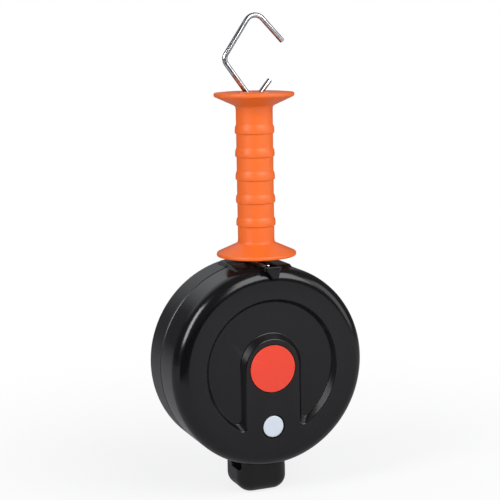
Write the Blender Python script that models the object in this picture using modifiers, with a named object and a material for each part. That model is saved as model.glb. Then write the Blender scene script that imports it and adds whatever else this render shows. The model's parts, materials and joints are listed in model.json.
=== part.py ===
"""Retractable fence gate reel: a tape spool with its clock spring in a two-part moulded drum.

The tape leaves through the outlet on top of the drum and ends in an insulated pull handle
with a wire gate hook. A moulded lug under the drum holds the reel to its post bracket.

Sizes are in millimetres and become metres where the meshes are made. Every sub-part is
modelled in the drum's frame: origin on the drum's axis in the pull plane, +Y to the rear,
+Z along the pull. Empties carry that frame to its place, so that the world origin is the
middle of the lug's flat foot.
"""

import math

import bmesh
import bpy
from mathutils import Matrix, Vector

MM = 0.001
OBJECT = "fence_gate_reel"

# Gap between two pieces that touch on the real reel
GAP = 0.3

# Mesh tolerances, in metres and degrees
MERGE_DISTANCE = 2e-6
FLAT_ANGLE = 0.2

# Frame: the drum's axis above the lug's foot, and the pull plane in front of its middle
AXIS_HEIGHT = 106.0
PULL_PLANE_Y = -8.0

# Drum shells
DRUM_RADIUS = 80.0
DRUM_STEPS = 48
FRONT_Y = -30.0
REAR_Y = 34.0
PARTING_Y = 6.0
FRONT_SHOULDER = 11.0
REAR_EDGE = 3.0
WALL = 2.8
INNER_RADIUS = DRUM_RADIUS - WALL
INNER_FRONT_Y = FRONT_Y + WALL
INNER_REAR_Y = REAR_Y - WALL
# The front wall steps inwards behind the recess
RECESS_BACK_Y = -23.2
RECESS_BACK_RADIUS = 57.5
LIP_DEPTH = 2.8
LIP_THICKNESS = 0.9
GROOVE_DEPTH = 0.7
GROOVE_HALF_WIDTH = 0.8

# Horseshoe recess in the front face
RECESS_RADIUS = 55.0
RECESS_DEPTH = 4.0
RECESS_SLOPE = 3.0
ISLAND_HALF_WIDTH = 22.4
ISLAND_SLOPE = 3.3
ARCH_RISE = 0.6
ARCH_SLOPE = 1.5
RECESS_TIP_RADIUS = 2.0

# Label and cover plug on the island
LABEL_RADIUS = 18.7
LABEL_THICKNESS = 0.6
LABEL_SEAT_DEPTH = 0.5
PLUG_Z = -46.7
PLUG_RADIUS = 8.5
PLUG_HEAD = 1.6
PLUG_STEM_RADIUS = 5.4

# Tape outlet on top of the drum, with the beak under its front end and the flat pad round it
OUTLET_TOP_Z = 81.0
OUTLET_RIM_Z = 78.0
OUTLET_HALF_WIDTH = 7.2
OUTLET_HALF_LENGTH = 34.5
OUTLET_CORNER = 2.2
OUTLET_WALL = 1.2
BEAK_TOP_Z = 80.0
BEAK_FOOT_Z = 71.8
BEAK_END_Z = 69.0
BEAK_FOOT_Y = -33.5
BEAK_FOOT_X = 2.2
BEAK_FOOT_HALF_WIDTH = 2.8
PAD_TOP_Z = 79.4
PAD_EDGE_Z = 74.5
PAD_HALF_WIDTH = 21.5
PAD_FRONT_Y = -18.0
PAD_REAR_Y = 26.0
PAD_SLOPE = 4.0
FUNNEL_FOOT_Z = 76.3
THROAT_HALF_WIDTH = 5.2
THROAT_HALF_LENGTH = 22.8
OUTLET_BLOCK_FOOT_Z = 67.0
OUTLET_BLOCK_HALF_WIDTH = 8.2
GUIDE_PIN_RADIUS = 2.0
GUIDE_PIN_X = 2.6
GUIDE_PIN_Z = 71.0
GUIDE_PIN_LENGTH = 50.0

# Lug under the drum
LUG_HALF_WIDTH = 20.8
LUG_MIDDLE_Y = -PULL_PLANE_Y
LUG_TOP_Z = -60.0
LUG_CORNER = 12.0
LUG_FOOT_ROUND = 11.0
LUG_WALL = 3.2
LUG_POCKET_TOP_Z = -90.0
SLOT_FRONT_Y = -7.0
SLOT_REAR_Y = 10.0
SLOT_FOOT_Z = -87.0
SLOT_ROUND = 2.5

# Screws that close the drum
SCREW_CIRCLE = 70.0
SCREW_BOSS_RADIUS = 5.6
SCREW_HEAD_SEAT_Y = 20.0
SCREW_HEAD_RADIUS = 3.6
SCREW_HEAD_HEIGHT = 2.5
SCREW_SHANK_RADIUS = 1.9
SCREW_TIP_Y = -15.0
SCREW_STEPS = 8
SCREW_ANGLES = (45.0, 135.0, 225.0, 315.0)

# Arbor and what runs on it
ARBOR_RADIUS = 5.0
JOURNAL_RADIUS = 4.1
SOCKET_BOSS_RADIUS = 8.5
FRONT_SOCKET_Y = -20.0
REAR_SOCKET_Y = 20.0
TANG_HALF_WIDTH = 4.0
TANG_END_Y = 28.2
ARBOR_HOLE_END_Y = 13.5
ARBOR_SCREW_HEAD_RADIUS = 4.0
ARBOR_SCREW_SINK = 0.2
SINK_HEAD_RADIUS = 4.7
SINK_NECK_DEPTH = 2.1
SINK_DEPTH = 6.2
SPRING_SLOT_WIDTH = 1.4
THRUST_BORE = 6.0
THRUST_RADIUS = 9.0
THRUST_THICKNESS = 0.8
BUSH_OUTER = 7.0
BUSH_LENGTH = 8.0

# Spool
SPOOL_STEPS = 30
FLANGE_RADIUS = 61.0
FLANGE_FACE = 20.6
FLANGE_THICKNESS = 1.8
HUB_OUTER = 38.0
HUB_INNER = 33.5
SPOOL_BOSS_RADIUS = 12.0
SPOOL_BOSS_END = 10.0
SPOOL_BOSS_FACE = 18.6
SPOOL_RECESS_RADIUS = 9.8
WINDOW_CIRCLE = 49.5
WINDOW_RADIUS = 6.0
WINDOW_COUNT = 6
SPOOL_SCREW_CIRCLE = 35.6
SPOOL_SCREW_ANGLES = (20.0, 140.0, 260.0)
SPOOL_SCREW_RADIUS = 1.1
SPOOL_SCREW_HEAD = 2.4
SPOOL_SCREW_HEAD_HEIGHT = 1.3
SPOOL_SCREW_TIP_Y = 12.0
SPOOL_HOLE_FOOT_Y = 11.0
SPIGOT_WALL = 2.0
SPIGOT_HEIGHT = 3.0
ANCHOR_ANGLE = 200.0
ANCHOR_CIRCLE = 36.4
ANCHOR_RADIUS = 1.6

# Clock spring
SPRING_HALF_WIDTH = 8.5
SPRING_THICKNESS = 0.8
SPRING_INNER = 6.0
SPRING_OUTER = 32.4
SPRING_TURNS = 7
SPRING_OUTER_PITCH = 1.7
SPRING_POINTS_PER_TURN = 14

# Tape
TAPE_HALF_WIDTH = 20.0
TAPE_THICKNESS = 0.5
ROLL_RADIUS = 53.3
LEAD_FOOT_Z = 71.3
LEAD_TOP_Z = 75.0

# Handle
FLANGE_RIM_RADIUS = 31.5
GRIP_RADIUS = 14.4
GRIP_TOP_Z = 213.3
GRIP_FOOT_Z = 85.4
FLANGE_RUN = 10.4
GRIP_STEPS = 32
GRIP_BORE = 2.2
DISH_DEPTH = 9.0
DISH_FLOOR_RADIUS = 13.0
CROWN_RISE = 0.9
CREST_RADIUS = 17.0
MOUTH_RADIUS = 13.5
MOUTH_ROUND = 1.5
WASHER_POCKET_RADIUS = 8.0
WASHER_POCKET_DEPTH = 5.0
WASHER_THICKNESS = 1.2
RING_MIDDLES = (184.9, 166.8, 148.8, 130.7, 112.6)
ROD_RADIUS = 1.6
TOP_EYE_Z = 207.8
TOP_EYE_RADIUS = 4.5
LOW_EYE_Z = 90.8
LOW_EYE_RADIUS = 3.5
TAPE_RING_WIRE = 1.3
TAPE_RING_HALF_LENGTH = 29.5
TAPE_RING_FOOT_Z = 78.3
TAPE_RING_APEX_Z = 91.2

# Gate hook, as the corners of its wire's middle line in the pull plane
HOOK_WIRE = 2.0
HOOK_CORNERS = ((13.6, 222.7), (-0.4, 205.8), (-25.2, 239.3), (0.7, 277.35), (24.6, 252.2))
HOOK_BENDS = (4.2, 7.0, 8.5)
HOOK_PIVOT_Z = 208.4

FINISHES = {
    "black_abs": ((0.020, 0.020, 0.022), 0.42, 0.0),
    "orange_plastic": ((0.90, 0.19, 0.035), 0.38, 0.0),
    "red_label": ((0.88, 0.06, 0.035), 0.45, 0.0),
    "grey_plug": ((0.62, 0.68, 0.76), 0.40, 0.0),
    "zinc_wire": ((0.62, 0.63, 0.65), 0.28, 1.0),
    "turned_steel": ((0.55, 0.56, 0.58), 0.30, 1.0),
    "spring_steel": ((0.30, 0.31, 0.36), 0.35, 1.0),
    "natural_nylon": ((0.80, 0.79, 0.74), 0.50, 0.0),
    "black_nylon": ((0.03, 0.03, 0.035), 0.50, 0.0),
    "white_tape": ((0.86, 0.87, 0.85), 0.80, 0.0),
}


def clear_scene():
    """Remove every object that the file opened with."""
    for thing in list(bpy.data.objects):
        bpy.data.objects.remove(thing, do_unlink=True)


def new_collection(name):
    """Return a new collection linked to the scene."""
    made = bpy.data.collections.new(name)
    bpy.context.scene.collection.children.link(made)
    return made


def make_materials():
    """Return one Principled material for each finish."""
    made = {}
    for name, (colour, roughness, metallic) in FINISHES.items():
        material = bpy.data.materials.new(name)
        material.use_nodes = True
        shader = material.node_tree.nodes["Principled BSDF"]
        shader.inputs["Base Color"].default_value = (*colour, 1.0)
        shader.inputs["Roughness"].default_value = roughness
        shader.inputs["Metallic"].default_value = metallic
        material.diffuse_color = (*colour, 1.0)
        made[name] = material
    return made


class Bench:
    """The collections, materials and frames that the sub-parts are made in."""

    def __init__(self):
        self.parts = new_collection(OBJECT)
        self.cutters = new_collection(OBJECT + "_cutters")
        self.materials = make_materials()
        self.frame = None

    def empty(self, name, y, z):
        """Return an empty that carries one body's pieces, at a place in millimetres."""
        made = bpy.data.objects.new(name, None)
        made.empty_display_size = 0.02
        made.location = (0.0, y * MM, z * MM)
        self.parts.objects.link(made)
        return made

    def add(self, name, data, finish):
        """Return a part object with its material, under the frame in use."""
        made = bpy.data.objects.new(name, data)
        made.parent = self.frame
        if finish:
            data.materials.append(self.materials[finish])
            self.parts.objects.link(made)
        else:
            made.hide_render = True
            made.display_type = "WIRE"
            self.cutters.objects.link(made)
        return made


def arc(x, z, radius, start, end, count):
    """Return points on an arc, both ends included, with its angles in degrees."""
    points = []
    for step in range(count + 1):
        angle = math.radians(start + (end - start) * step / count)
        points.append((x + radius * math.cos(angle), z + radius * math.sin(angle)))
    return points


def on_circle(radius, degrees):
    """Return the x and z of a point on a circle round the drum's axis."""
    angle = math.radians(degrees)
    return radius * math.cos(angle), radius * math.sin(angle)


def rounded_slot(half_width, half_length, corner, x=0.0, y=0.0, count=3):
    """Return a flat rectangle with rounded corners, long along Y, round the point (x, y)."""
    side = half_width - corner
    end = half_length - corner
    outline = arc(x - side, y - end, corner, 180.0, 270.0, count)
    outline += arc(x + side, y - end, corner, 270.0, 360.0, count)
    outline += arc(x + side, y + end, corner, 0.0, 90.0, count)
    outline += arc(x - side, y + end, corner, 90.0, 180.0, count)
    return outline


def turned(bench, name, profile, finish, steps, along_y=True, at=(0.0, 0.0, 0.0)):
    """Return a turned piece from a closed profile of (radius, height) points.

    Heights run along +Z, or towards the front of the drum where along_y is set.
    """
    mesh = bpy.data.meshes.new(name)
    corners = [(radius * MM, 0.0, height * MM) for radius, height in profile]
    edges = [(n, n + 1) for n in range(len(corners) - 1)]
    if profile[0][0] > 0.0 or profile[-1][0] > 0.0:
        edges.append((len(corners) - 1, 0))
    mesh.from_pydata(corners, edges, [])
    made = bench.add(name, mesh, finish)
    made.location = Vector(at) * MM
    if along_y:
        made.rotation_euler = (math.pi / 2, 0.0, 0.0)
    screw = made.modifiers.new("turn", "SCREW")
    screw.steps = steps
    screw.render_steps = steps
    screw.use_merge_vertices = True
    screw.merge_threshold = 1e-6
    return made


def cylinder(bench, name, radius, start_y, end_y, x, z, finish=None, steps=16):
    """Return a round bar along Y between two depths."""
    length = end_y - start_y
    mesh = bpy.data.meshes.new(name)
    shape = bmesh.new()
    bmesh.ops.create_cone(
        shape,
        cap_ends=True,
        segments=steps,
        radius1=radius * MM,
        radius2=radius * MM,
        depth=length * MM,
    )
    shape.to_mesh(mesh)
    shape.free()
    made = bench.add(name, mesh, finish)
    made.rotation_euler = (math.pi / 2, 0.0, 0.0)
    made.location = (x * MM, (start_y + end_y) / 2 * MM, z * MM)
    return made


def block(bench, name, low, high, finish=None):
    """Return a box between two corners."""
    mesh = bpy.data.meshes.new(name)
    shape = bmesh.new()
    bmesh.ops.create_cube(shape, size=1.0)
    size = Vector(high) - Vector(low)
    middle = (Vector(high) + Vector(low)) / 2
    bmesh.ops.transform(shape, matrix=Matrix.Diagonal((*(size * MM), 1.0)), verts=shape.verts)
    bmesh.ops.translate(shape, vec=middle * MM, verts=shape.verts)
    shape.to_mesh(mesh)
    shape.free()
    return bench.add(name, mesh, finish)


def round_edges(piece, radius, segments, chooses):
    """Round the edges of a box-like piece that the chooser picks by their two ends."""
    shape = bmesh.new()
    shape.from_mesh(piece.data)
    edges = [edge for edge in shape.edges if chooses(*(vert.co / MM for vert in edge.verts))]
    bmesh.ops.bevel(
        shape,
        geom=edges,
        offset=radius * MM,
        segments=segments,
        profile=0.5,
        affect="EDGES",
        clamp_overlap=False,
    )
    bmesh.ops.remove_doubles(shape, verts=shape.verts, dist=1e-6)
    shape.to_mesh(piece.data)
    shape.free()


def loft(bench, name, sections, finish=None):
    """Return a closed solid through sections that have the same number of points."""
    mesh = bpy.data.meshes.new(name)
    shape = bmesh.new()
    rings = [[shape.verts.new(Vector(point) * MM) for point in section] for section in sections]
    for lower, upper in zip(rings, rings[1:]):
        for n in range(len(lower)):
            after = (n + 1) % len(lower)
            shape.faces.new((lower[n], lower[after], upper[after], upper[n]))
    shape.faces.new(list(reversed(rings[0])))
    shape.faces.new(rings[-1])
    bmesh.ops.recalc_face_normals(shape, faces=shape.faces)
    shape.to_mesh(mesh)
    shape.free()
    return bench.add(name, mesh, finish)


def wire(bench, name, points, radius, finish, resolution=2, closed=False):
    """Return a round wire along points."""
    curve = bpy.data.curves.new(name, "CURVE")
    curve.dimensions = "3D"
    curve.bevel_depth = radius * MM
    curve.bevel_resolution = resolution
    curve.use_fill_caps = True
    spline = curve.splines.new("POLY")
    spline.points.add(len(points) - 1)
    for target, point in zip(spline.points, points):
        target.co = (*(Vector(point) * MM), 1.0)
    spline.use_cyclic_u = closed
    return bench.add(name, curve, finish)


def cut(piece, cutter, operation="DIFFERENCE"):
    """Give a piece a live Boolean with one cutter."""
    modifier = piece.modifiers.new(cutter.name, "BOOLEAN")
    modifier.operation = operation
    modifier.solver = "EXACT"
    modifier.object = cutter


def settled_mesh(piece, name):
    """Return a new mesh with a piece's modifiers made final, in the piece's parent frame.

    Coplanar facets that the Booleans leave are merged into one face.
    """
    bpy.context.view_layer.update()
    seen = piece.evaluated_get(bpy.context.evaluated_depsgraph_get())
    mesh = bpy.data.meshes.new_from_object(seen)
    mesh.name = name
    mesh.transform(piece.matrix_local)
    mesh.materials.clear()
    shape = bmesh.new()
    shape.from_mesh(mesh)
    bmesh.ops.remove_doubles(shape, verts=shape.verts, dist=MERGE_DISTANCE)
    bmesh.ops.dissolve_degenerate(shape, dist=MERGE_DISTANCE, edges=shape.edges)
    bmesh.ops.dissolve_limit(
        shape, angle_limit=math.radians(FLAT_ANGLE), verts=shape.verts, edges=shape.edges
    )
    shape.to_mesh(mesh)
    shape.free()
    return mesh


def settle(piece):
    """Make a piece's modifiers final, in place."""
    mesh = settled_mesh(piece, piece.data.name + "_settled")
    piece.modifiers.clear()
    piece.matrix_local = Matrix.Identity(4)
    finish = piece.data.materials[0] if piece.data.materials else None
    spent = piece.data
    piece.data = mesh
    mesh.materials.append(finish)
    bpy.data.meshes.remove(spent)


def filleted(corners, bends, points_per_bend):
    """Return a path with its inner corners rounded, each to its own radius."""
    path = [Vector(corners[0])]
    for before, corner, after, radius in zip(corners, corners[1:], corners[2:], bends):
        corner = Vector(corner)
        to_before = (Vector(before) - corner).normalized()
        to_after = (Vector(after) - corner).normalized()
        half = to_before.angle(to_after) / 2
        centre = corner + (to_before + to_after).normalized() * (radius / math.sin(half))
        reach = radius / math.tan(half)
        start = corner + to_before * reach - centre
        end = corner + to_after * reach - centre
        for n in range(points_per_bend + 1):
            turned_to = start.slerp(end, n / points_per_bend)
            path.append(centre + turned_to.normalized() * radius)
    path.append(Vector(corners[-1]))
    return path


def recess_outline(drop):
    """Return the horseshoe's outline at a depth below the face, as a share of its depth."""
    outer = RECESS_RADIUS - RECESS_SLOPE * drop
    half_width = ISLAND_HALF_WIDTH + ISLAND_SLOPE * drop
    rise = ARCH_RISE + ARCH_SLOPE * drop
    tip = RECESS_TIP_RADIUS
    tip_x = half_width + tip
    tip_z = -math.sqrt((outer - tip) ** 2 - tip_x**2)
    tip_angle = math.degrees(math.atan2(tip_z, tip_x))
    arch = arc(0.0, rise, half_width, 0.0, 180.0, 14)
    left_tip = arc(-tip_x, tip_z, tip, 0.0, -180.0 - tip_angle, 4)
    rim = arc(0.0, 0.0, outer, 180.0 - tip_angle, tip_angle, 32)
    right_tip = arc(tip_x, tip_z, tip, tip_angle, -180.0, 4)
    return arch + left_tip + rim[1:-1] + right_tip


def drum_body(bench):
    """Return the drum's outer form as a turned solid."""
    profile = [(0.0, -FRONT_Y)]
    middle = DRUM_RADIUS - FRONT_SHOULDER
    profile += arc(middle, -FRONT_Y - FRONT_SHOULDER, FRONT_SHOULDER, 90.0, 0.0, 4)
    edge = DRUM_RADIUS - REAR_EDGE
    profile += arc(edge, REAR_EDGE - REAR_Y, REAR_EDGE, 0.0, -90.0, 2)
    profile.append((0.0, -REAR_Y))
    made = turned(bench, "housing", profile, "black_abs", DRUM_STEPS)
    settle(made)
    return made


def drum_cavity(bench):
    """Return the space inside the drum, less the bosses and the outlet block that fill it."""
    round_radius = FRONT_SHOULDER - WALL
    profile = [(0.0, -RECESS_BACK_Y), (RECESS_BACK_RADIUS, -RECESS_BACK_Y)]
    profile.append((RECESS_BACK_RADIUS + 2.0, -INNER_FRONT_Y))
    profile += arc(INNER_RADIUS - round_radius, -INNER_FRONT_Y - round_radius, round_radius, 90.0, 0.0, 3)
    profile += [(INNER_RADIUS, -INNER_REAR_Y), (0.0, -INNER_REAR_Y)]
    cavity = turned(bench, "cavity", profile, None, DRUM_STEPS)
    settle(cavity)
    for n, degrees in enumerate(SCREW_ANGLES):
        x, z = on_circle(SCREW_CIRCLE, degrees)
        boss = cylinder(bench, f"screw_boss_{n}", SCREW_BOSS_RADIUS, FRONT_Y + 1, REAR_Y - 1, x, z)
        cut(cavity, boss)
    front = cylinder(
        bench, "front_socket_boss", SOCKET_BOSS_RADIUS, FRONT_Y + 2, FRONT_SOCKET_Y, 0, 0, steps=24
    )
    rear = cylinder(
        bench, "rear_socket_boss", SOCKET_BOSS_RADIUS, REAR_SOCKET_Y, REAR_Y - 1, 0, 0, steps=24
    )
    half = OUTLET_BLOCK_HALF_WIDTH
    outlet = block(
        bench,
        "outlet_block",
        (-half, FRONT_Y + 1, OUTLET_BLOCK_FOOT_Z),
        (half, REAR_Y - 1, DRUM_RADIUS),
    )
    for filled in (front, rear, outlet):
        cut(cavity, filled)
    return cavity


def lug_block(bench, name, inset, top):
    """Return the lug's rounded block, or one that lies inside it by an inset."""
    half = LUG_HALF_WIDTH - inset
    low = (-half, LUG_MIDDLE_Y - half, inset - AXIS_HEIGHT)
    high = (half, LUG_MIDDLE_Y + half, top)
    made = block(bench, name, low, high)

    def upright(one, other):
        return abs(one.z - other.z) > 1.0

    def at_foot(one, other):
        foot = inset - AXIS_HEIGHT
        return abs(one.z - foot) < 0.01 and abs(other.z - foot) < 0.01

    round_edges(made, LUG_CORNER - inset, 4, upright)
    round_edges(made, LUG_FOOT_ROUND - inset, 4, at_foot)
    return made


def lug(bench):
    """Return the lug with its cross slot, ready to be joined to the drum."""
    made = lug_block(bench, "lug_form", 0.0, LUG_TOP_Z)
    reach = LUG_HALF_WIDTH + 5.0
    slot = block(
        bench,
        "lug_slot",
        (-reach, SLOT_FRONT_Y, SLOT_FOOT_Z),
        (reach, SLOT_REAR_Y, LUG_TOP_Z - 5.0),
    )

    def slot_corner(one, other):
        low = abs(one.z - SLOT_FOOT_Z) < 0.01 and abs(other.z - SLOT_FOOT_Z) < 0.01
        return low and abs(one.x - other.x) > 1.0

    round_edges(slot, SLOT_ROUND, 3, slot_corner)
    cut(made, slot)
    return made


def outlet_rim(bench):
    """Return the raised rim round the tape outlet."""
    corner = OUTLET_CORNER
    outline = rounded_slot(OUTLET_HALF_WIDTH, OUTLET_HALF_LENGTH, corner)
    inset = rounded_slot(OUTLET_HALF_WIDTH - 0.5, OUTLET_HALF_LENGTH - 0.5, corner - 0.5)
    sections = [
        [(x, y, OUTLET_RIM_Z) for x, y in outline],
        [(x, y, OUTLET_TOP_Z - 0.5) for x, y in outline],
        [(x, y, OUTLET_TOP_Z) for x, y in inset],
    ]
    return loft(bench, "outlet_rim", sections)


def outlet_beak(bench):
    """Return the beak that runs from the outlet's front end down to the drum's face."""
    back = FRONT_Y + 3.0
    steps = (
        (BEAK_END_Z, BEAK_FOOT_HALF_WIDTH - 0.8, FRONT_Y + 0.4, BEAK_FOOT_X, 0.8),
        (BEAK_FOOT_Z, BEAK_FOOT_HALF_WIDTH, BEAK_FOOT_Y, BEAK_FOOT_X, 1.2),
        (BEAK_TOP_Z, OUTLET_HALF_WIDTH - 0.1, 0.1 - OUTLET_HALF_LENGTH, 0.0, OUTLET_CORNER),
    )
    sections = []
    for z, half_width, front, middle, corner in steps:
        half_length = (back - front) / 2
        outline = rounded_slot(half_width, half_length, corner, middle, (front + back) / 2)
        sections.append([(x, y, z) for x, y in outline])
    return loft(bench, "outlet_beak", sections)


def outlet_pad(bench):
    """Return the low flat pad on the drum's round side that the outlet stands on."""
    middle = (PAD_FRONT_Y + PAD_REAR_Y) / 2
    half_length = (PAD_REAR_Y - PAD_FRONT_Y) / 2
    sections = []
    for z, wider in ((PAD_EDGE_Z, PAD_SLOPE), (PAD_TOP_Z, 0.0)):
        outline = rounded_slot(PAD_HALF_WIDTH + wider, half_length + wider, 3.0 + wider, y=middle)
        sections.append([(x, y, z) for x, y in outline])
    return loft(bench, "outlet_pad", sections)


def outlet_passage(bench):
    """Return the cutters of the tape's way out: the throat and the funnel above it."""
    throat = rounded_slot(THROAT_HALF_WIDTH, THROAT_HALF_LENGTH, THROAT_HALF_WIDTH - 0.6)
    mouth = rounded_slot(
        OUTLET_HALF_WIDTH - OUTLET_WALL, OUTLET_HALF_LENGTH - OUTLET_WALL, OUTLET_CORNER - 0.8
    )
    sections = [
        [(x, y, OUTLET_BLOCK_FOOT_Z - 1.0) for x, y in throat],
        [(x, y, FUNNEL_FOOT_Z) for x, y in throat],
        [(x, y, OUTLET_TOP_Z - 0.6) for x, y in mouth],
        [(x, y, OUTLET_TOP_Z + 1.0) for x, y in mouth],
    ]
    return loft(bench, "outlet_passage", sections)


def face_cutters(bench):
    """Return the cutters of the front face: recess, label seat and plug seat."""
    sections = []
    for drop in (1.0, -0.2):
        height = FRONT_Y + RECESS_DEPTH * drop
        sections.append([(x, height, z) for x, z in recess_outline(drop)])
    recess = loft(bench, "recess", sections)
    seat = cylinder(
        bench,
        "label_seat",
        LABEL_RADIUS + GAP,
        FRONT_Y - 1.0,
        FRONT_Y + LABEL_SEAT_DEPTH,
        0.0,
        0.0,
        steps=24,
    )
    head = PLUG_HEAD + GAP
    plug_seat = cylinder(
        bench, "plug_seat", PLUG_RADIUS + GAP, FRONT_Y - 1.0, FRONT_Y + head, 0.0, PLUG_Z, steps=20
    )
    plug_hole = cylinder(
        bench, "plug_hole", PLUG_STEM_RADIUS + GAP, FRONT_Y, RECESS_BACK_Y + 1, 0.0, PLUG_Z, steps=12
    )
    return [recess, seat, plug_seat, plug_hole]


def fastener_cutters(bench):
    """Return the cutters for the screws, the arbor's two sockets and the guide pins."""
    made = []
    hole = SCREW_SHANK_RADIUS + GAP
    for n, degrees in enumerate(SCREW_ANGLES):
        x, z = on_circle(SCREW_CIRCLE, degrees)
        made.append(cylinder(bench, f"screw_hole_{n}", hole, SCREW_TIP_Y - 1.0, REAR_Y, x, z, steps=12))
        head = SCREW_HEAD_RADIUS + 0.5
        made.append(cylinder(bench, f"screw_well_{n}", head, SCREW_HEAD_SEAT_Y, REAR_Y + 1, x, z))
    made.append(
        cylinder(
            bench, "front_socket", JOURNAL_RADIUS + GAP, FRONT_SOCKET_Y - 3.6, FRONT_SOCKET_Y + 1, 0, 0
        )
    )
    half = TANG_HALF_WIDTH + GAP
    made.append(
        block(
            bench,
            "rear_socket",
            (-half, REAR_SOCKET_Y - 1, -half),
            (half, TANG_END_Y + GAP, half),
        )
    )
    neck = SCREW_SHANK_RADIUS + 0.4
    sink = [
        (0.0, SINK_DEPTH),
        (neck, SINK_DEPTH),
        (neck, SINK_NECK_DEPTH),
        (SINK_HEAD_RADIUS, -0.3),
        (0.0, -0.3),
    ]
    made.append(turned(bench, "arbor_screw_sink", sink, None, 16, at=(0.0, REAR_Y, 0.0)))
    for side in (-1.0, 1.0):
        half_length = GUIDE_PIN_LENGTH / 2 + GAP
        x = side * GUIDE_PIN_X
        radius = GUIDE_PIN_RADIUS + GAP
        name = f"pin_socket_{'left' if side < 0 else 'right'}"
        made.append(cylinder(bench, name, radius, -half_length, half_length, x, GUIDE_PIN_Z, steps=12))
    return made


def housing_mesh(bench):
    """Return the whole moulded housing as one mesh, before it is parted."""
    housing = drum_body(bench)
    cut(housing, lug(bench), "UNION")
    for added in (outlet_pad(bench), outlet_beak(bench), outlet_rim(bench)):
        cut(housing, added, "UNION")
    cut(housing, drum_cavity(bench))
    cut(housing, lug_block(bench, "lug_pocket", LUG_WALL, LUG_POCKET_TOP_Z))
    groove = [
        (DRUM_RADIUS + 1.0, GROOVE_HALF_WIDTH + 0.9 - PARTING_Y),
        (DRUM_RADIUS + 1.0, -GROOVE_HALF_WIDTH - 0.9 - PARTING_Y),
        (DRUM_RADIUS - GROOVE_DEPTH, -PARTING_Y),
    ]
    cut(housing, turned(bench, "parting_groove", groove, None, DRUM_STEPS))
    for cutter in (outlet_passage(bench), *face_cutters(bench), *fastener_cutters(bench)):
        cut(housing, cutter)
    mesh = settled_mesh(housing, "housing_settled")
    bpy.data.objects.remove(housing, do_unlink=True)
    for spent in list(bench.cutters.objects):
        bpy.data.objects.remove(spent, do_unlink=True)
    return mesh


def lip_ring(bench, name, wider):
    """Return the ring of wall that the rear shell keeps as its lip, or that the front gives up."""
    outer = INNER_RADIUS + LIP_THICKNESS + wider
    inner = INNER_RADIUS - 1.0 - wider
    front = LIP_DEPTH + wider - PARTING_Y
    rear = -1.0 - PARTING_Y
    profile = [(outer, front), (outer, rear), (inner, rear), (inner, front)]
    ring = turned(bench, name, profile, None, DRUM_STEPS)
    side = OUTLET_BLOCK_HALF_WIDTH + 0.8 - wider
    low = (-side, -DRUM_RADIUS, DRUM_RADIUS / 2)
    cut(ring, block(bench, f"{name}_break", low, (side, DRUM_RADIUS, 2 * DRUM_RADIUS)))
    return ring


def shells(bench):
    """Part the housing into its front and rear shells, with a lip where they meet."""
    mesh = housing_mesh(bench)
    front = bench.add("front_shell", mesh.copy(), "black_abs")
    rear = bench.add("rear_shell", mesh, "black_abs")
    far = 2.0 * AXIS_HEIGHT
    half_gap = GAP / 2
    behind = block(bench, "behind_parting", (-far, PARTING_Y - half_gap, -far), (far, far, far))
    before = block(bench, "before_parting", (-far, -far, -far), (far, PARTING_Y + half_gap, far))
    cut(behind, lip_ring(bench, "rebate", GAP), "UNION")
    cut(before, lip_ring(bench, "lip", 0.0))
    cut(front, behind)
    cut(rear, before)
    settle(front)
    settle(rear)


def front_trim(bench):
    """Make the bare round label and the cover plug on the front face."""
    top = LABEL_THICKNESS / 2
    label = [(0.0, top), (LABEL_RADIUS - 0.2, top), (LABEL_RADIUS, top - 0.2)]
    label += [(LABEL_RADIUS, -top), (0.0, -top)]
    label_y = FRONT_Y + LABEL_SEAT_DEPTH - GAP - top
    turned(bench, "label_disc", label, "red_label", 24, at=(0.0, label_y, 0.0))
    stem_end = INNER_FRONT_Y - RECESS_BACK_Y - WALL
    plug = [
        (0.0, 0.0),
        (PLUG_RADIUS - 0.4, 0.0),
        (PLUG_RADIUS, -0.4),
        (PLUG_RADIUS, -PLUG_HEAD),
        (PLUG_STEM_RADIUS, -PLUG_HEAD),
        (PLUG_STEM_RADIUS - 0.3, stem_end),
        (0.0, stem_end),
    ]
    turned(bench, "cover_plug", plug, "grey_plug", 20, at=(0.0, FRONT_Y, PLUG_Z))


def pan_screw(bench, name, x, z):
    """Return one of the four screws that close the drum."""
    head = SCREW_HEAD_RADIUS
    under = -(SCREW_HEAD_SEAT_Y + GAP)
    top = under - SCREW_HEAD_HEIGHT
    profile = [
        (0.0, -SCREW_TIP_Y),
        (SCREW_SHANK_RADIUS * 0.4, -SCREW_TIP_Y),
        (SCREW_SHANK_RADIUS, -SCREW_TIP_Y - 3.0),
        (SCREW_SHANK_RADIUS, under),
        (head, under),
        (head, top + 1.0),
        (head * 0.7, top),
        (0.0, top),
    ]
    return turned(bench, name, profile, "turned_steel", SCREW_STEPS, at=(x, 0.0, z))


def housing_screws(bench):
    """Make the four screws that close the drum from the rear."""
    for n, degrees in enumerate(SCREW_ANGLES, 1):
        x, z = on_circle(SCREW_CIRCLE, degrees)
        pan_screw(bench, f"housing_screw_{n}", x, z)


def guide_pins(bench):
    """Make the two smooth pins that the tape runs between."""
    half = GUIDE_PIN_LENGTH / 2
    radius = GUIDE_PIN_RADIUS
    profile = [
        (0.0, half),
        (radius - 0.4, half),
        (radius, half - 0.4),
        (radius, 0.4 - half),
        (radius - 0.4, -half),
        (0.0, -half),
    ]
    for name, side in (("guide_pin_left", -1.0), ("guide_pin_right", 1.0)):
        at = (side * GUIDE_PIN_X, 0.0, GUIDE_PIN_Z)
        turned(bench, name, profile, "turned_steel", 10, at=at)


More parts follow.
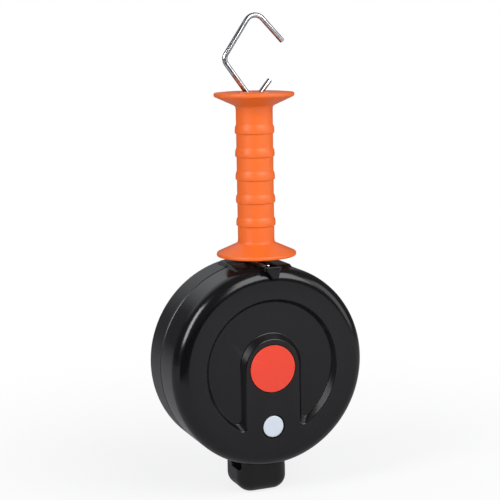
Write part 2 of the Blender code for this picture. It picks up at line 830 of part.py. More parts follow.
def arbor(bench):
    """Make the fixed arbor, its spring slot and its screw."""
    front_end = -FRONT_SOCKET_Y + 3.2
    profile = [
        (0.0, front_end),
        (JOURNAL_RADIUS - 0.5, front_end),
        (JOURNAL_RADIUS, front_end - 0.5),
        (JOURNAL_RADIUS, -FRONT_SOCKET_Y - 0.1),
        (ARBOR_RADIUS, -FRONT_SOCKET_Y - 0.1),
        (ARBOR_RADIUS, 0.3 - REAR_SOCKET_Y),
        (0.0, 0.3 - REAR_SOCKET_Y),
    ]
    made = turned(bench, "arbor", profile, "turned_steel", 16)
    half = TANG_HALF_WIDTH
    start = REAR_SOCKET_Y - 1.0
    tang = block(bench, "tang", (-half, start, -half), (half, TANG_END_Y, half))
    cut(made, tang, "UNION")
    slot_half = SPRING_SLOT_WIDTH / 2
    reach = SPRING_HALF_WIDTH + 0.5
    slot = block(bench, "spring_slot", (-slot_half, -reach, -8.0), (slot_half, reach, 8.0))
    cut(made, slot)
    hole = cylinder(
        bench, "arbor_hole", SCREW_SHANK_RADIUS + GAP, ARBOR_HOLE_END_Y, TANG_END_Y + 1.0, 0.0, 0.0
    )
    cut(made, hole)
    shank = SCREW_SHANK_RADIUS
    head = ARBOR_SCREW_HEAD_RADIUS
    screw = [
        (0.0, -ARBOR_HOLE_END_Y - 1.0),
        (shank, -ARBOR_HOLE_END_Y - 1.5),
        (shank, 2.0 - REAR_Y),
        (head, ARBOR_SCREW_SINK - REAR_Y),
        (0.0, ARBOR_SCREW_SINK - REAR_Y),
    ]
    turned(bench, "arbor_screw", screw, "turned_steel", 16)


def ring_piece(bench, name, inner, outer, middle_y, width, finish, steps=16):
    """Return a plain turned ring such as a bush or a washer."""
    half = width / 2
    profile = [(outer, half), (outer, -half), (inner, -half), (inner, half)]
    return turned(bench, name, profile, finish, steps, at=(0.0, middle_y, 0.0))


def thrust_washer(bench, name, side):
    """Make the thrust washer of one side, front at -1 and rear at 1."""
    middle = side * (REAR_SOCKET_Y - GAP - THRUST_THICKNESS / 2)
    ring_piece(bench, name, THRUST_BORE, THRUST_RADIUS, middle, THRUST_THICKNESS, "natural_nylon", 16)


def bush(bench, name, side):
    """Make one of the two bushes that the spool turns on."""
    middle = side * (SPOOL_BOSS_FACE - BUSH_LENGTH / 2)
    ring_piece(bench, name, ARBOR_RADIUS + GAP, BUSH_OUTER, middle, BUSH_LENGTH, "natural_nylon", 16)


def spool_core(bench):
    """Make the spool's hub with its front flange."""
    bore = BUSH_OUTER + GAP
    outside = FLANGE_FACE + FLANGE_THICKNESS
    web = FLANGE_FACE - 0.4
    profile = [
        (FLANGE_RADIUS, outside),
        (FLANGE_RADIUS, FLANGE_FACE),
        (HUB_OUTER, FLANGE_FACE),
        (HUB_OUTER, GAP - FLANGE_FACE),
        (HUB_INNER, GAP - FLANGE_FACE),
        (HUB_INNER, web),
        (SPOOL_BOSS_RADIUS, web),
        (SPOOL_BOSS_RADIUS, SPOOL_BOSS_END),
        (bore, SPOOL_BOSS_END),
        (bore, SPOOL_BOSS_FACE),
        (SPOOL_RECESS_RADIUS, SPOOL_BOSS_FACE),
        (SPOOL_RECESS_RADIUS, outside),
    ]
    made = turned(bench, "spool_core", profile, "black_nylon", SPOOL_STEPS)
    settle(made)
    flange_windows(bench, made, -outside - 1.0, -FLANGE_FACE + 1.0, "front")
    x, z = on_circle(ANCHOR_CIRCLE, ANCHOR_ANGLE)
    reach = TAPE_HALF_WIDTH
    cut(made, cylinder(bench, "anchor_groove", ANCHOR_RADIUS + GAP, -reach, reach + 1.0, x, z, steps=12))
    hole = SPOOL_SCREW_RADIUS + GAP
    for n, degrees in enumerate(SPOOL_SCREW_ANGLES):
        x, z = on_circle(SPOOL_SCREW_CIRCLE, degrees)
        top = FLANGE_FACE + 1.0
        cut(made, cylinder(bench, f"hub_hole_{n}", hole, SPOOL_HOLE_FOOT_Y, top, x, z, steps=SCREW_STEPS))
    settle(made)


def flange_windows(bench, flange, start_y, end_y, side):
    """Cut the round windows through which the tape on the spool can be seen."""
    for n in range(WINDOW_COUNT):
        x, z = on_circle(WINDOW_CIRCLE, 270.0 + n * 360.0 / WINDOW_COUNT)
        cut(flange, cylinder(bench, f"{side}_window_{n}", WINDOW_RADIUS, start_y, end_y, x, z, steps=8))


def spool_flange(bench):
    """Make the rear flange, which also closes the spring's chamber, and its screws."""
    bore = BUSH_OUTER + GAP
    outside = -FLANGE_FACE - FLANGE_THICKNESS
    inside = -FLANGE_FACE
    spigot = HUB_INNER - GAP
    profile = [
        (FLANGE_RADIUS, inside),
        (FLANGE_RADIUS, outside),
        (SPOOL_RECESS_RADIUS, outside),
        (SPOOL_RECESS_RADIUS, -SPOOL_BOSS_FACE),
        (bore, -SPOOL_BOSS_FACE),
        (bore, -SPOOL_BOSS_END),
        (SPOOL_BOSS_RADIUS, -SPOOL_BOSS_END),
        (SPOOL_BOSS_RADIUS, inside),
        (spigot - SPIGOT_WALL, inside),
        (spigot - SPIGOT_WALL, inside + SPIGOT_HEIGHT),
        (spigot, inside + SPIGOT_HEIGHT),
        (spigot, inside),
    ]
    made = turned(bench, "spool_flange", profile, "black_nylon", SPOOL_STEPS)
    settle(made)
    flange_windows(bench, made, FLANGE_FACE - 1.0, FLANGE_FACE + FLANGE_THICKNESS + 1.0, "rear")
    under = outside - GAP
    top = under - SPOOL_SCREW_HEAD_HEIGHT
    screw = [
        (0.0, -SPOOL_SCREW_TIP_Y),
        (SPOOL_SCREW_RADIUS, -SPOOL_SCREW_TIP_Y - 1.0),
        (SPOOL_SCREW_RADIUS, under),
        (SPOOL_SCREW_HEAD, under),
        (SPOOL_SCREW_HEAD - 0.4, top),
        (0.0, top),
    ]
    hole = SPOOL_SCREW_RADIUS + GAP
    for n, degrees in enumerate(SPOOL_SCREW_ANGLES, 1):
        x, z = on_circle(SPOOL_SCREW_CIRCLE, degrees)
        start = FLANGE_FACE - 1.0
        end = FLANGE_FACE + FLANGE_THICKNESS + 1.0
        cut(made, cylinder(bench, f"flange_hole_{n}", hole, start, end, x, z, steps=SCREW_STEPS))
        turned(bench, f"spool_screw_{n}", screw, "turned_steel", SCREW_STEPS, at=(x, 0.0, z))
    settle(made)


def clock_spring(bench):
    """Make the spiral spring that winds the tape in, its turns crowded at the outside."""
    span = SPRING_OUTER - SPRING_INNER
    final_slope = SPRING_OUTER_PITCH * SPRING_TURNS / span
    count = SPRING_TURNS * SPRING_POINTS_PER_TURN
    radii = []
    path = []
    for n in range(count + 1):
        share = n / count
        spread = (2.0 - final_slope) * share - (1.0 - final_slope) * share**2
        radius = SPRING_INNER + span * spread
        angle = 2.0 * math.pi * n / SPRING_POINTS_PER_TURN
        radii.append(radius)
        path.append((radius * math.cos(angle), radius * math.sin(angle)))
    turn = SPRING_POINTS_PER_TURN
    gaps = [outer - inner for inner, outer in zip(radii, radii[turn:])]
    print(f"clock_spring: least gap between turns {min(gaps) - SPRING_THICKNESS:.2f} mm")
    mesh = bpy.data.meshes.new("clock_spring")
    shape = bmesh.new()
    verts = [shape.verts.new((x * MM, -SPRING_HALF_WIDTH * MM, z * MM)) for x, z in path]
    edges = [shape.edges.new(pair) for pair in zip(verts, verts[1:])]
    strip = bmesh.ops.extrude_edge_only(shape, edges=edges)
    moved = [item for item in strip["geom"] if isinstance(item, bmesh.types.BMVert)]
    bmesh.ops.translate(shape, vec=(0.0, 2.0 * SPRING_HALF_WIDTH * MM, 0.0), verts=moved)
    shape.to_mesh(mesh)
    shape.free()
    made = bench.add("clock_spring", mesh, "spring_steel")
    solid = made.modifiers.new("thickness", "SOLIDIFY")
    solid.thickness = SPRING_THICKNESS * MM
    solid.offset = 0.0


def wound_tape(bench):
    """Make the tape on the spool and the pin that anchors its inner end."""
    inner = HUB_OUTER + GAP
    ring_piece(bench, "tape_roll", inner, ROLL_RADIUS, 0.0, 2 * TAPE_HALF_WIDTH, "white_tape", SPOOL_STEPS)
    x, z = on_circle(ANCHOR_CIRCLE - 0.05, ANCHOR_ANGLE)
    reach = TAPE_HALF_WIDTH - 0.4
    cylinder(bench, "tape_anchor_pin", ANCHOR_RADIUS, -reach, reach, x, z, "turned_steel", 12)


def ribbon(bench, name, middle_line, finish):
    """Return a flat band of tape along a middle line of (x, z) points."""
    half = TAPE_THICKNESS / 2
    left = []
    right = []
    for n, point in enumerate(middle_line):
        before = Vector(middle_line[max(n - 1, 0)])
        after = Vector(middle_line[min(n + 1, len(middle_line) - 1)])
        ahead = (after - before).normalized()
        aside = Vector((-ahead.y, ahead.x)) * half
        left.append(Vector(point) + aside)
        right.append(Vector(point) - aside)
    outline = left + list(reversed(right))
    reach = TAPE_HALF_WIDTH
    return loft(bench, name, [[(p.x, y, p.y) for p in outline] for y in (-reach, reach)], finish)


def tape_span(bench):
    """Make the tape from the spool round the right guide pin to the foot of the throat."""
    roll = ROLL_RADIUS + GAP + TAPE_THICKNESS / 2
    pin = Vector((GUIDE_PIN_X, GUIDE_PIN_Z))
    bend = GUIDE_PIN_X
    towards = math.degrees(math.atan2(pin.y, pin.x))
    normal = towards - math.degrees(math.acos((roll + bend) / pin.length))
    path = [on_circle(roll, normal)]
    path += arc(pin.x, pin.y, bend, normal + 180.0, 180.0, 4)
    ribbon(bench, "tape_span", path, "white_tape")


def tape_lead(bench):
    """Make the straight tape in the throat, which lengthens as the handle is pulled."""
    ribbon(bench, "tape_lead", [(0.0, LEAD_FOOT_Z), (0.0, LEAD_TOP_Z)], "white_tape")


def tape_end(bench):
    """Make the triangular wire ring at the tape's end and the tape hem sewn round it."""
    half = TAPE_RING_HALF_LENGTH
    foot = TAPE_RING_FOOT_Z
    corners = [(0.0, foot), (half, foot), (0.0, TAPE_RING_APEX_Z), (-half, foot), (0.0, foot)]
    path = filleted(corners, (1.6, 3.2, 1.6), 5)[:-1]
    wire(bench, "tape_ring", [(0.0, p.x, p.y) for p in path], TAPE_RING_WIRE, "zinc_wire", closed=True)
    inner = TAPE_RING_WIRE + GAP
    outer = inner + TAPE_THICKNESS
    tail = LEAD_TOP_Z + GAP
    half_tail = TAPE_THICKNESS
    outside = arc(0.0, foot, outer, -70.0, 250.0, 14)
    outline = [(half_tail, tail), *outside, (-half_tail, tail)]
    reach = TAPE_HALF_WIDTH
    sections = [[(x, y, z) for x, z in outline] for y in (-reach, reach)]
    hem = loft(bench, "tape_hem", sections, "white_tape")
    cut(hem, cylinder(bench, "hem_bore", inner, -reach - 1.0, reach + 1.0, 0.0, foot, steps=12))


def flange_side(rim_z, direction):
    """Return one flange of the grip from its underside's root over its rounded rim.

    The direction is 1 for the top flange and -1 for the bottom one.
    """
    rim = FLANGE_RIM_RADIUS
    root = rim_z - direction * FLANGE_RUN
    return [
        (GRIP_RADIUS, root - direction * 1.4),
        (GRIP_RADIUS + 0.5, root - direction * 0.3),
        (GRIP_RADIUS + 1.8, root + direction * 0.7),
        (rim - 1.0, rim_z - direction * 2.6),
        (rim - 0.2, rim_z - direction * 2.1),
        (rim, rim_z - direction * 1.3),
        (rim - 0.3, rim_z - direction * 0.4),
        (rim - 1.1, rim_z),
    ]


def flange_pocket(floor, direction):
    """Return the pocket in the middle of a flange, from the dish's floor to the grip's bore."""
    foot = floor - direction * WASHER_POCKET_DEPTH
    return [(WASHER_POCKET_RADIUS, floor), (WASHER_POCKET_RADIUS, foot), (GRIP_BORE, foot)]


def grip(bench):
    """Make the insulated grip: a crowned and a dished flange and five raised finger rings."""
    crest = GRIP_TOP_Z + CROWN_RISE
    floor = GRIP_TOP_Z - DISH_DEPTH
    top = flange_side(GRIP_TOP_Z, 1.0)
    top += [
        ((FLANGE_RIM_RADIUS + CREST_RADIUS) / 2, crest - CROWN_RISE * 0.3),
        (CREST_RADIUS, crest),
        (MOUTH_RADIUS + MOUTH_ROUND, crest - 0.2),
        (MOUTH_RADIUS, crest - MOUTH_ROUND),
        (MOUTH_RADIUS, floor),
    ]
    top += flange_pocket(floor, 1.0)
    bottom = flange_side(GRIP_FOOT_Z, -1.0)
    bottom += [
        (FLANGE_RIM_RADIUS - 2.2, GRIP_FOOT_Z + 0.3),
        (DISH_FLOOR_RADIUS, GRIP_FOOT_Z + DISH_DEPTH),
    ]
    bottom += flange_pocket(GRIP_FOOT_Z + DISH_DEPTH, -1.0)
    profile = list(reversed(top))
    for middle in RING_MIDDLES:
        profile += [
            (GRIP_RADIUS, middle + 3.9),
            (GRIP_RADIUS + 0.7, middle + 2.4),
            (GRIP_RADIUS + 1.1, middle - 0.6),
            (GRIP_RADIUS + 0.9, middle - 2.8),
            (GRIP_RADIUS, middle - 3.4),
        ]
    profile += bottom
    turned(bench, "grip", profile, "orange_plastic", GRIP_STEPS, along_y=False)
    seat = GRIP_TOP_Z - DISH_DEPTH - WASHER_POCKET_DEPTH + GAP
    inner = ROD_RADIUS + 0.4
    outer = WASHER_POCKET_RADIUS - 0.6
    washer = [
        (outer, seat + WASHER_THICKNESS),
        (outer, seat),
        (inner, seat),
        (inner, seat + WASHER_THICKNESS),
    ]
    turned(bench, "grip_washer", washer, "zinc_wire", 16, along_y=False)


def handle_rod(bench):
    """Make the wire rod through the grip, with an eye for the hook and one for the tape."""
    top = arc(0.0, TOP_EYE_Z, TOP_EYE_RADIUS, -62.0, 220.0, 13)
    low = arc(0.0, LOW_EYE_Z, LOW_EYE_RADIUS, 118.0, 400.0, 13)
    neck_top = TOP_EYE_Z - TOP_EYE_RADIUS - 2.0
    neck_low = LOW_EYE_Z + LOW_EYE_RADIUS + 2.0
    path = [(x, 0.0, z) for x, z in reversed(low)]
    path += [(-0.5, 0.0, neck_low - 1.0), (0.0, 0.0, neck_low + 0.5)]
    path += [(0.0, 0.0, neck_top - 0.5), (0.0, 0.5, neck_top + 1.0)]
    path += [(0.0, y, z) for y, z in top]
    wire(bench, "handle_rod", path, ROD_RADIUS, "zinc_wire")


def hook(bench):
    """Make the open diamond hook, modelled round its pivot in the rod's eye."""
    corners = [(x, z - HOOK_PIVOT_Z) for x, z in HOOK_CORNERS]
    path = filleted(corners, HOOK_BENDS, 7)
    wire(bench, "hook", [(p.x, 0.0, p.y) for p in path], HOOK_WIRE, "zinc_wire")


def build():
    """Build the whole reel, body by body."""
    clear_scene()
    bench = Bench()
    bench.frame = bench.empty("housing_frame", PULL_PLANE_Y, AXIS_HEIGHT)
    shells(bench)
    front_trim(bench)
    housing_screws(bench)
    guide_pins(bench)
    arbor(bench)
    thrust_washer(bench, "thrust_washer_front", -1.0)
    thrust_washer(bench, "thrust_washer_rear", 1.0)
    tape_span(bench)
    tape_lead(bench)
    bench.frame = bench.empty("spool_axis", PULL_PLANE_Y, AXIS_HEIGHT)
    spool_core(bench)
    spool_flange(bench)
    bush(bench, "front_bush", -1.0)
    bush(bench, "rear_bush", 1.0)
    clock_spring(bench)
    wound_tape(bench)
    bench.frame = bench.empty("handle_axis", PULL_PLANE_Y, AXIS_HEIGHT)
    grip(bench)
    handle_rod(bench)
    tape_end(bench)
    bench.frame = bench.empty("hook_pivot", PULL_PLANE_Y, AXIS_HEIGHT + HOOK_PIVOT_Z)
    hook(bench)


build()
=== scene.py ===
"""Dressed model of a retractable fence gate reel in a plain pale studio.

A black moulded drum in two shells stands on its lug. Its tape comes out of the outlet on
top and ends in an orange pull handle with an open zinc-plated wire hook.

Shapes are worked out in millimetres in the drum's frame: origin on the drum's axis in the
pull plane, +Y to the rear, +Z along the pull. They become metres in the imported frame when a
piece is made.
"""

import json
import logging
import math
from collections.abc import Callable, Iterable, Sequence
from dataclasses import dataclass, replace
from enum import Enum

import bmesh
import bpy
from mathutils import Matrix, Vector


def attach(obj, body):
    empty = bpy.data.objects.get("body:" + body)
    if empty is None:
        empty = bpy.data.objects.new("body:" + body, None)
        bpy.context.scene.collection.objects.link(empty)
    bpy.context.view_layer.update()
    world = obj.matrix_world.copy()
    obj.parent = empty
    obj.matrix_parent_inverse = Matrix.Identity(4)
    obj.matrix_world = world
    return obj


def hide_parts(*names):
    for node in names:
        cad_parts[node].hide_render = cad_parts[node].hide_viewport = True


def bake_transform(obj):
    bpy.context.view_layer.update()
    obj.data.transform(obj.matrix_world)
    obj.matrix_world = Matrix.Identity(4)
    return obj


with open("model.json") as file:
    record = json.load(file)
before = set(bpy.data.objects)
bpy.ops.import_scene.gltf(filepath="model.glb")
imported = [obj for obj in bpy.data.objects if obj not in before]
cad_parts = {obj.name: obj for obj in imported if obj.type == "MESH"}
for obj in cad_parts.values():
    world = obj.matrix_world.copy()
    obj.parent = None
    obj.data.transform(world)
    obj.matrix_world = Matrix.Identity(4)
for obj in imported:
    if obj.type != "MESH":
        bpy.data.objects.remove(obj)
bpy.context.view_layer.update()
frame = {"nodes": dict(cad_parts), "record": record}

LOG = logging.getLogger("gate_reel")

MM = 0.001
AXIS_HEIGHT = 106.0  # drum's axis over the foot of the lug
PULL_PLANE_Y = -8.0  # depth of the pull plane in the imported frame
TO_FRAME = Matrix.Translation((0.0, PULL_PLANE_Y * MM, AXIS_HEIGHT * MM)) @ Matrix.Scale(MM, 4)
SEAT_GAP = 0.3  # clearance of a piece in its seat
OVERLAP = 1.0  # how far a tool reaches past what it meets
SKIM = 0.02  # height over a face at which the edge of a seat starts
NEAR = 0.1  # ends of an edge that are this close to a plane lie on it
LONG = 1.0  # an edge that runs further than this along a line lies along it

STRAIGHT = math.radians(89.5)  # half angle past which a corner is left as it is
SIDE_SHARE = 0.49  # most of a side that the rounding of one corner takes
SPIN_WELD = 1e-4  # points closer than this are one, here and in the two below
BEVEL_WELD = 1e-3
CARVE_WELD = 2e-3
LEAST_EDGE = 1e-3
WIRE_END = ((0.0, 0.80), (0.12, 0.94), (0.35, 1.0))  # way in and girth, as shares of the radius
MIX_FIRST, MIX_SECOND, MIX_RESULT = 6, 7, 2  # colour sockets of a Mix node
STRANDS = 200.0  # conducting strands for each metre across the tape
STRAND_EDGE = 0.88  # wave height past which a strand shows
SPECKLE = 0.06  # roughness that the fine grain adds and takes
BLOOM_DULLING = 0.16  # roughness that a bloom on the zinc adds

Form = bmesh.types.BMesh
Flat = tuple[float, float]
Corner = tuple[float, float, float]
Place = tuple[float, float, float]
Colour = tuple[float, float, float]
Socket = bpy.types.NodeSocket


class Facing(Enum):
    """Way that the height of a turned profile runs."""

    UP = 0.0
    FRONT = math.pi / 2


class Carve(Enum):
    """What a carving tool does to the form it meets."""

    ADD = "UNION"
    TAKE = "DIFFERENCE"


class Body(Enum):
    """Bodies of the reel that move on their own."""

    HOUSING = "housing"
    SPOOL = "spool"
    HANDLE = "handle"
    HOOK = "hook"


def softened(corners: Sequence[Corner], count: int = 6) -> list[Flat]:
    """Round the corners of a flat line.

    Args:
        corners: Two coordinates of each corner, and its rounding radius.
        count: Steps on each rounded corner.

    Returns:
        The points of the rounded line.
    """
    line: list[Flat] = [corners[0][:2]]
    for before, corner, after in zip(corners, corners[1:], corners[2:]):
        here = Vector(corner[:2])
        back = Vector(before[:2]) - here
        ahead = Vector(after[:2]) - here
        half = back.angle(ahead) / 2
        if corner[2] == 0.0 or half > STRAIGHT:
            line.append((here.x, here.y))
            continue
        longest = SIDE_SHARE * min(back.length, ahead.length)
        reach = min(corner[2] / math.tan(half), longest)
        radius = reach * math.tan(half)
        inward = (back.normalized() + ahead.normalized()).normalized()
        centre = here + inward * (radius / math.sin(half))
        start = here + back.normalized() * reach - centre
        end = here + ahead.normalized() * reach - centre
        for step in range(count + 1):
            spoke = start.slerp(end, step / count).normalized() * radius
            line.append((centre.x + spoke.x, centre.y + spoke.y))
    line.append(corners[-1][:2])
    return line


def arc(middle: Flat, radius: float, start: float, end: float, count: int) -> list[Flat]:
    """Work out points on an arc, both ends included.

    Args:
        middle: The arc's centre.
        radius: Its radius.
        start: Angle of the first point in degrees.
        end: Angle of the last point in degrees.
        count: Steps between them.

    Returns:
        The arc's points.
    """
    points = []
    for step in range(count + 1):
        angle = math.radians(start + (end - start) * step / count)
        points.append((middle[0] + radius * math.cos(angle), middle[1] + radius * math.sin(angle)))
    return points


def on_circle(radius: float, degrees: float) -> Flat:
    """Return the x and z of a point on a circle round the drum's axis."""
    return arc((0.0, 0.0), radius, degrees, degrees, 1)[0]


def turned(
    profile: Sequence[Flat],
    steps: int,
    facing: Facing = Facing.FRONT,
    at: Place = (0.0, 0.0, 0.0),
) -> Form:
    """Spin a profile into a closed turned form.

    Args:
        profile: Radius and height of each point, ending on the axis or closing on itself.
        steps: Facets round the turn.
        facing: Way that the height runs.
        at: Place of the profile's origin.

    Returns:
        The turned form.
    """
    form = bmesh.new()
    verts = [form.verts.new((radius, 0.0, height)) for radius, height in profile]
    edges = [form.edges.new(pair) for pair in zip(verts, verts[1:])]
    if profile[0][0] > 0.0 or profile[-1][0] > 0.0:
        edges.append(form.edges.new((verts[-1], verts[0])))
    bmesh.ops.spin(
        form,
        geom=[*verts, *edges],
        cent=(0.0, 0.0, 0.0),
        axis=(0.0, 0.0, 1.0),
        angle=math.tau,
        steps=steps,
        use_merge=True,
    )
    bmesh.ops.remove_doubles(form, verts=form.verts, dist=SPIN_WELD)
    bmesh.ops.recalc_face_normals(form, faces=form.faces)
    bmesh.ops.transform(
        form,
        matrix=Matrix.Translation(at) @ Matrix.Rotation(facing.value, 4, "X"),
        verts=form.verts,
    )
    return form


def bar(radius: float, start_y: float, end_y: float, at: Flat, steps: int = 24) -> Form:
    """Make a round bar along Y.

    Args:
        radius: Radius of the bar.
        start_y: Depth of its front end.
        end_y: Depth of its rear end.
        at: The x and z of its middle line.
        steps: Facets round it.

    Returns:
        The bar's form.
    """
    form = bmesh.new()
    place = Matrix.Translation((at[0], (start_y + end_y) / 2, at[1]))
    bmesh.ops.create_cone(
        form,
        cap_ends=True,
        segments=steps,
        radius1=radius,
        radius2=radius,
        depth=end_y - start_y,
        matrix=place @ Matrix.Rotation(math.pi / 2, 4, "X"),
    )
    return form


def block(low: Place, high: Place) -> Form:
    """Make a box.

    Args:
        low: Its corner of least x, y and z.
        high: Its corner of most x, y and z.

    Returns:
        The box's form.
    """
    form = bmesh.new()
    size = Vector(high) - Vector(low)
    middle = (Vector(high) + Vector(low)) / 2
    place = Matrix.Translation(middle) @ Matrix.Diagonal((*size, 1.0))
    bmesh.ops.create_cube(form, size=1.0, matrix=place)
    return form


def round_edges(
    form: Form, radius: float, segments: int, chooses: Callable[[Vector, Vector], bool]
) -> None:
    """Bevel the edges of a form that a chooser picks.

    Args:
        form: The form to change.
        radius: Rounding radius.
        segments: Facets across each rounding.
        chooses: Test of an edge's two ends.
    """
    edges = [edge for edge in form.edges if chooses(edge.verts[0].co, edge.verts[1].co)]
    bmesh.ops.bevel(
        form,
        geom=edges,
        offset=radius,
        segments=segments,
        profile=0.5,
        affect="EDGES",
        clamp_overlap=False,
        material=-1,
    )
    bmesh.ops.remove_doubles(form, verts=form.verts, dist=BEVEL_WELD)


def lofted(sections: Iterable[Sequence[Place]]) -> Form:
    """Bridge closed outlines into one capped form.

    Args:
        sections: Outlines in order, with points in the same sense.

    Returns:
        The lofted form.
    """
    form = bmesh.new()
    loops = []
    for section in sections:
        verts = [form.verts.new(point) for point in section]
        loops.append([form.edges.new((a, b)) for a, b in zip(verts, [*verts[1:], verts[0]])])
    for lower, upper in zip(loops, loops[1:]):
        bmesh.ops.bridge_loops(form, edges=[*lower, *upper])
    for end in (loops[0], loops[-1]):
        bmesh.ops.contextual_create(form, geom=end)
    bmesh.ops.recalc_face_normals(form, faces=form.faces)
    return form


def stacked(outlines: Iterable[tuple[float, Sequence[Flat]]]) -> Form:
    """Loft flat outlines that lie over each other.

    Args:
        outlines: Height of each outline, and its x and y points.

    Returns:
        The lofted form.
    """
    return lofted([(x, y, height) for x, y in outline] for height, outline in outlines)


def wire(path: Sequence[Place], radius: float, sides: int, closed: bool = False) -> Form:
    """Draw a round wire along a path, by extruding a circle from point to point.

    Args:
        path: Points of the wire's middle line.
        radius: Radius of the wire.
        sides: Facets round it.
        closed: Whether its last point joins its first.

    Returns:
        The wire's form, with softened cut ends where it is open.
    """
    line = [Vector(point) for point in path]
    girths = [radius] * len(line)
    if not closed:
        for end, inner in ((0, 1), (-1, -2)):
            inward = (line[inner] - line[end]).normalized() * radius
            trimmed = [line[end] + inward * reach for reach, _ in WIRE_END]
            thinned = [radius * share for _, share in WIRE_END]
            if end == 0:
                line[:1] = trimmed
                girths[:1] = thinned
            else:
                line[-1:] = reversed(trimmed)
                girths[-1:] = reversed(thinned)
    form = bmesh.new()
    heading = tangent_at(line, 0, closed)
    side = heading.orthogonal().normalized()
    ring = bmesh.ops.create_circle(
        form, cap_ends=not closed, segments=sides, radius=1.0, matrix=Matrix.Identity(4)
    )
    frames = []
    for n, point in enumerate(line):
        ahead = tangent_at(line, n, closed)
        side = (ahead.rotation_difference(heading).inverted() @ side).normalized()
        heading = ahead
        upward = ahead.cross(side)
        columns = Matrix((side, upward, ahead)).transposed().to_4x4()
        frames.append(Matrix.Translation(point) @ columns @ Matrix.Scale(girths[n], 4))
    bmesh.ops.transform(form, matrix=frames[0], verts=ring["verts"])
    edges = list(form.edges)
    first = list(edges)
    for before, after in zip(frames, frames[1:]):
        made = bmesh.ops.extrude_edge_only(form, edges=edges)["geom"]
        verts = [item for item in made if isinstance(item, bmesh.types.BMVert)]
        edges = [
            item
            for item in made
            if isinstance(item, bmesh.types.BMEdge) and all(vert in verts for vert in item.verts)
        ]
        bmesh.ops.transform(form, matrix=after @ before.inverted(), verts=verts)
    if closed:
        bmesh.ops.bridge_loops(form, edges=[*first, *edges])
    else:
        bmesh.ops.contextual_create(form, geom=edges)
    bmesh.ops.recalc_face_normals(form, faces=form.faces)
    return form


def tangent_at(line: Sequence[Vector], n: int, closed: bool) -> Vector:
    """Return the unit heading of a path at one of its points.

    Args:
        line: The path's points.
        n: Number of the point.
        closed: Whether the path's ends join.

    Returns:
        The heading.
    """
    last = len(line) - 1
    before = line[n - 1] if n > 0 or closed else line[0]
    after = line[(n + 1) % len(line)] if n < last or closed else line[last]
    return (after - before).normalized()


def carved(base: Form, tools: Sequence[tuple[Carve, Form]]) -> Form:
    """Add tools to a form or take them from it, in order.

    Args:
        base: The form to start from.
        tools: What each tool does, and its form. The forms are used up.

    Returns:
        The carved form.
    """
    body = as_object("carved_body", base)
    helpers = []
    for n, (action, tool) in enumerate(tools):
        helper = as_object(f"carving_tool_{n}", tool)
        helpers.append(helper)
        modifier = body.modifiers.new(helper.name, "BOOLEAN")
        modifier.operation = action.value
        modifier.solver = "EXACT"
        modifier.object = helper
    bpy.context.view_layer.update()
    form = bmesh.new()
    form.from_object(body, bpy.context.evaluated_depsgraph_get())
    for spent in (body, *helpers):
        mesh = spent.data
        bpy.data.objects.remove(spent, do_unlink=True)
        bpy.data.meshes.remove(mesh)
    bmesh.ops.remove_doubles(form, verts=form.verts, dist=CARVE_WELD)
    bmesh.ops.dissolve_degenerate(form, dist=LEAST_EDGE, edges=form.edges)
    return form


def as_object(name: str, form: Form) -> bpy.types.Object:
    """Put a form in an object of the scene.

    Args:
        name: Name of the object and of its mesh.
        form: The form, which is used up.

    Returns:
        The object.
    """
    mesh = bpy.data.meshes.new(name)
    form.to_mesh(mesh)
    form.free()
    made = bpy.data.objects.new(name, mesh)
    bpy.context.scene.collection.objects.link(made)
    return made


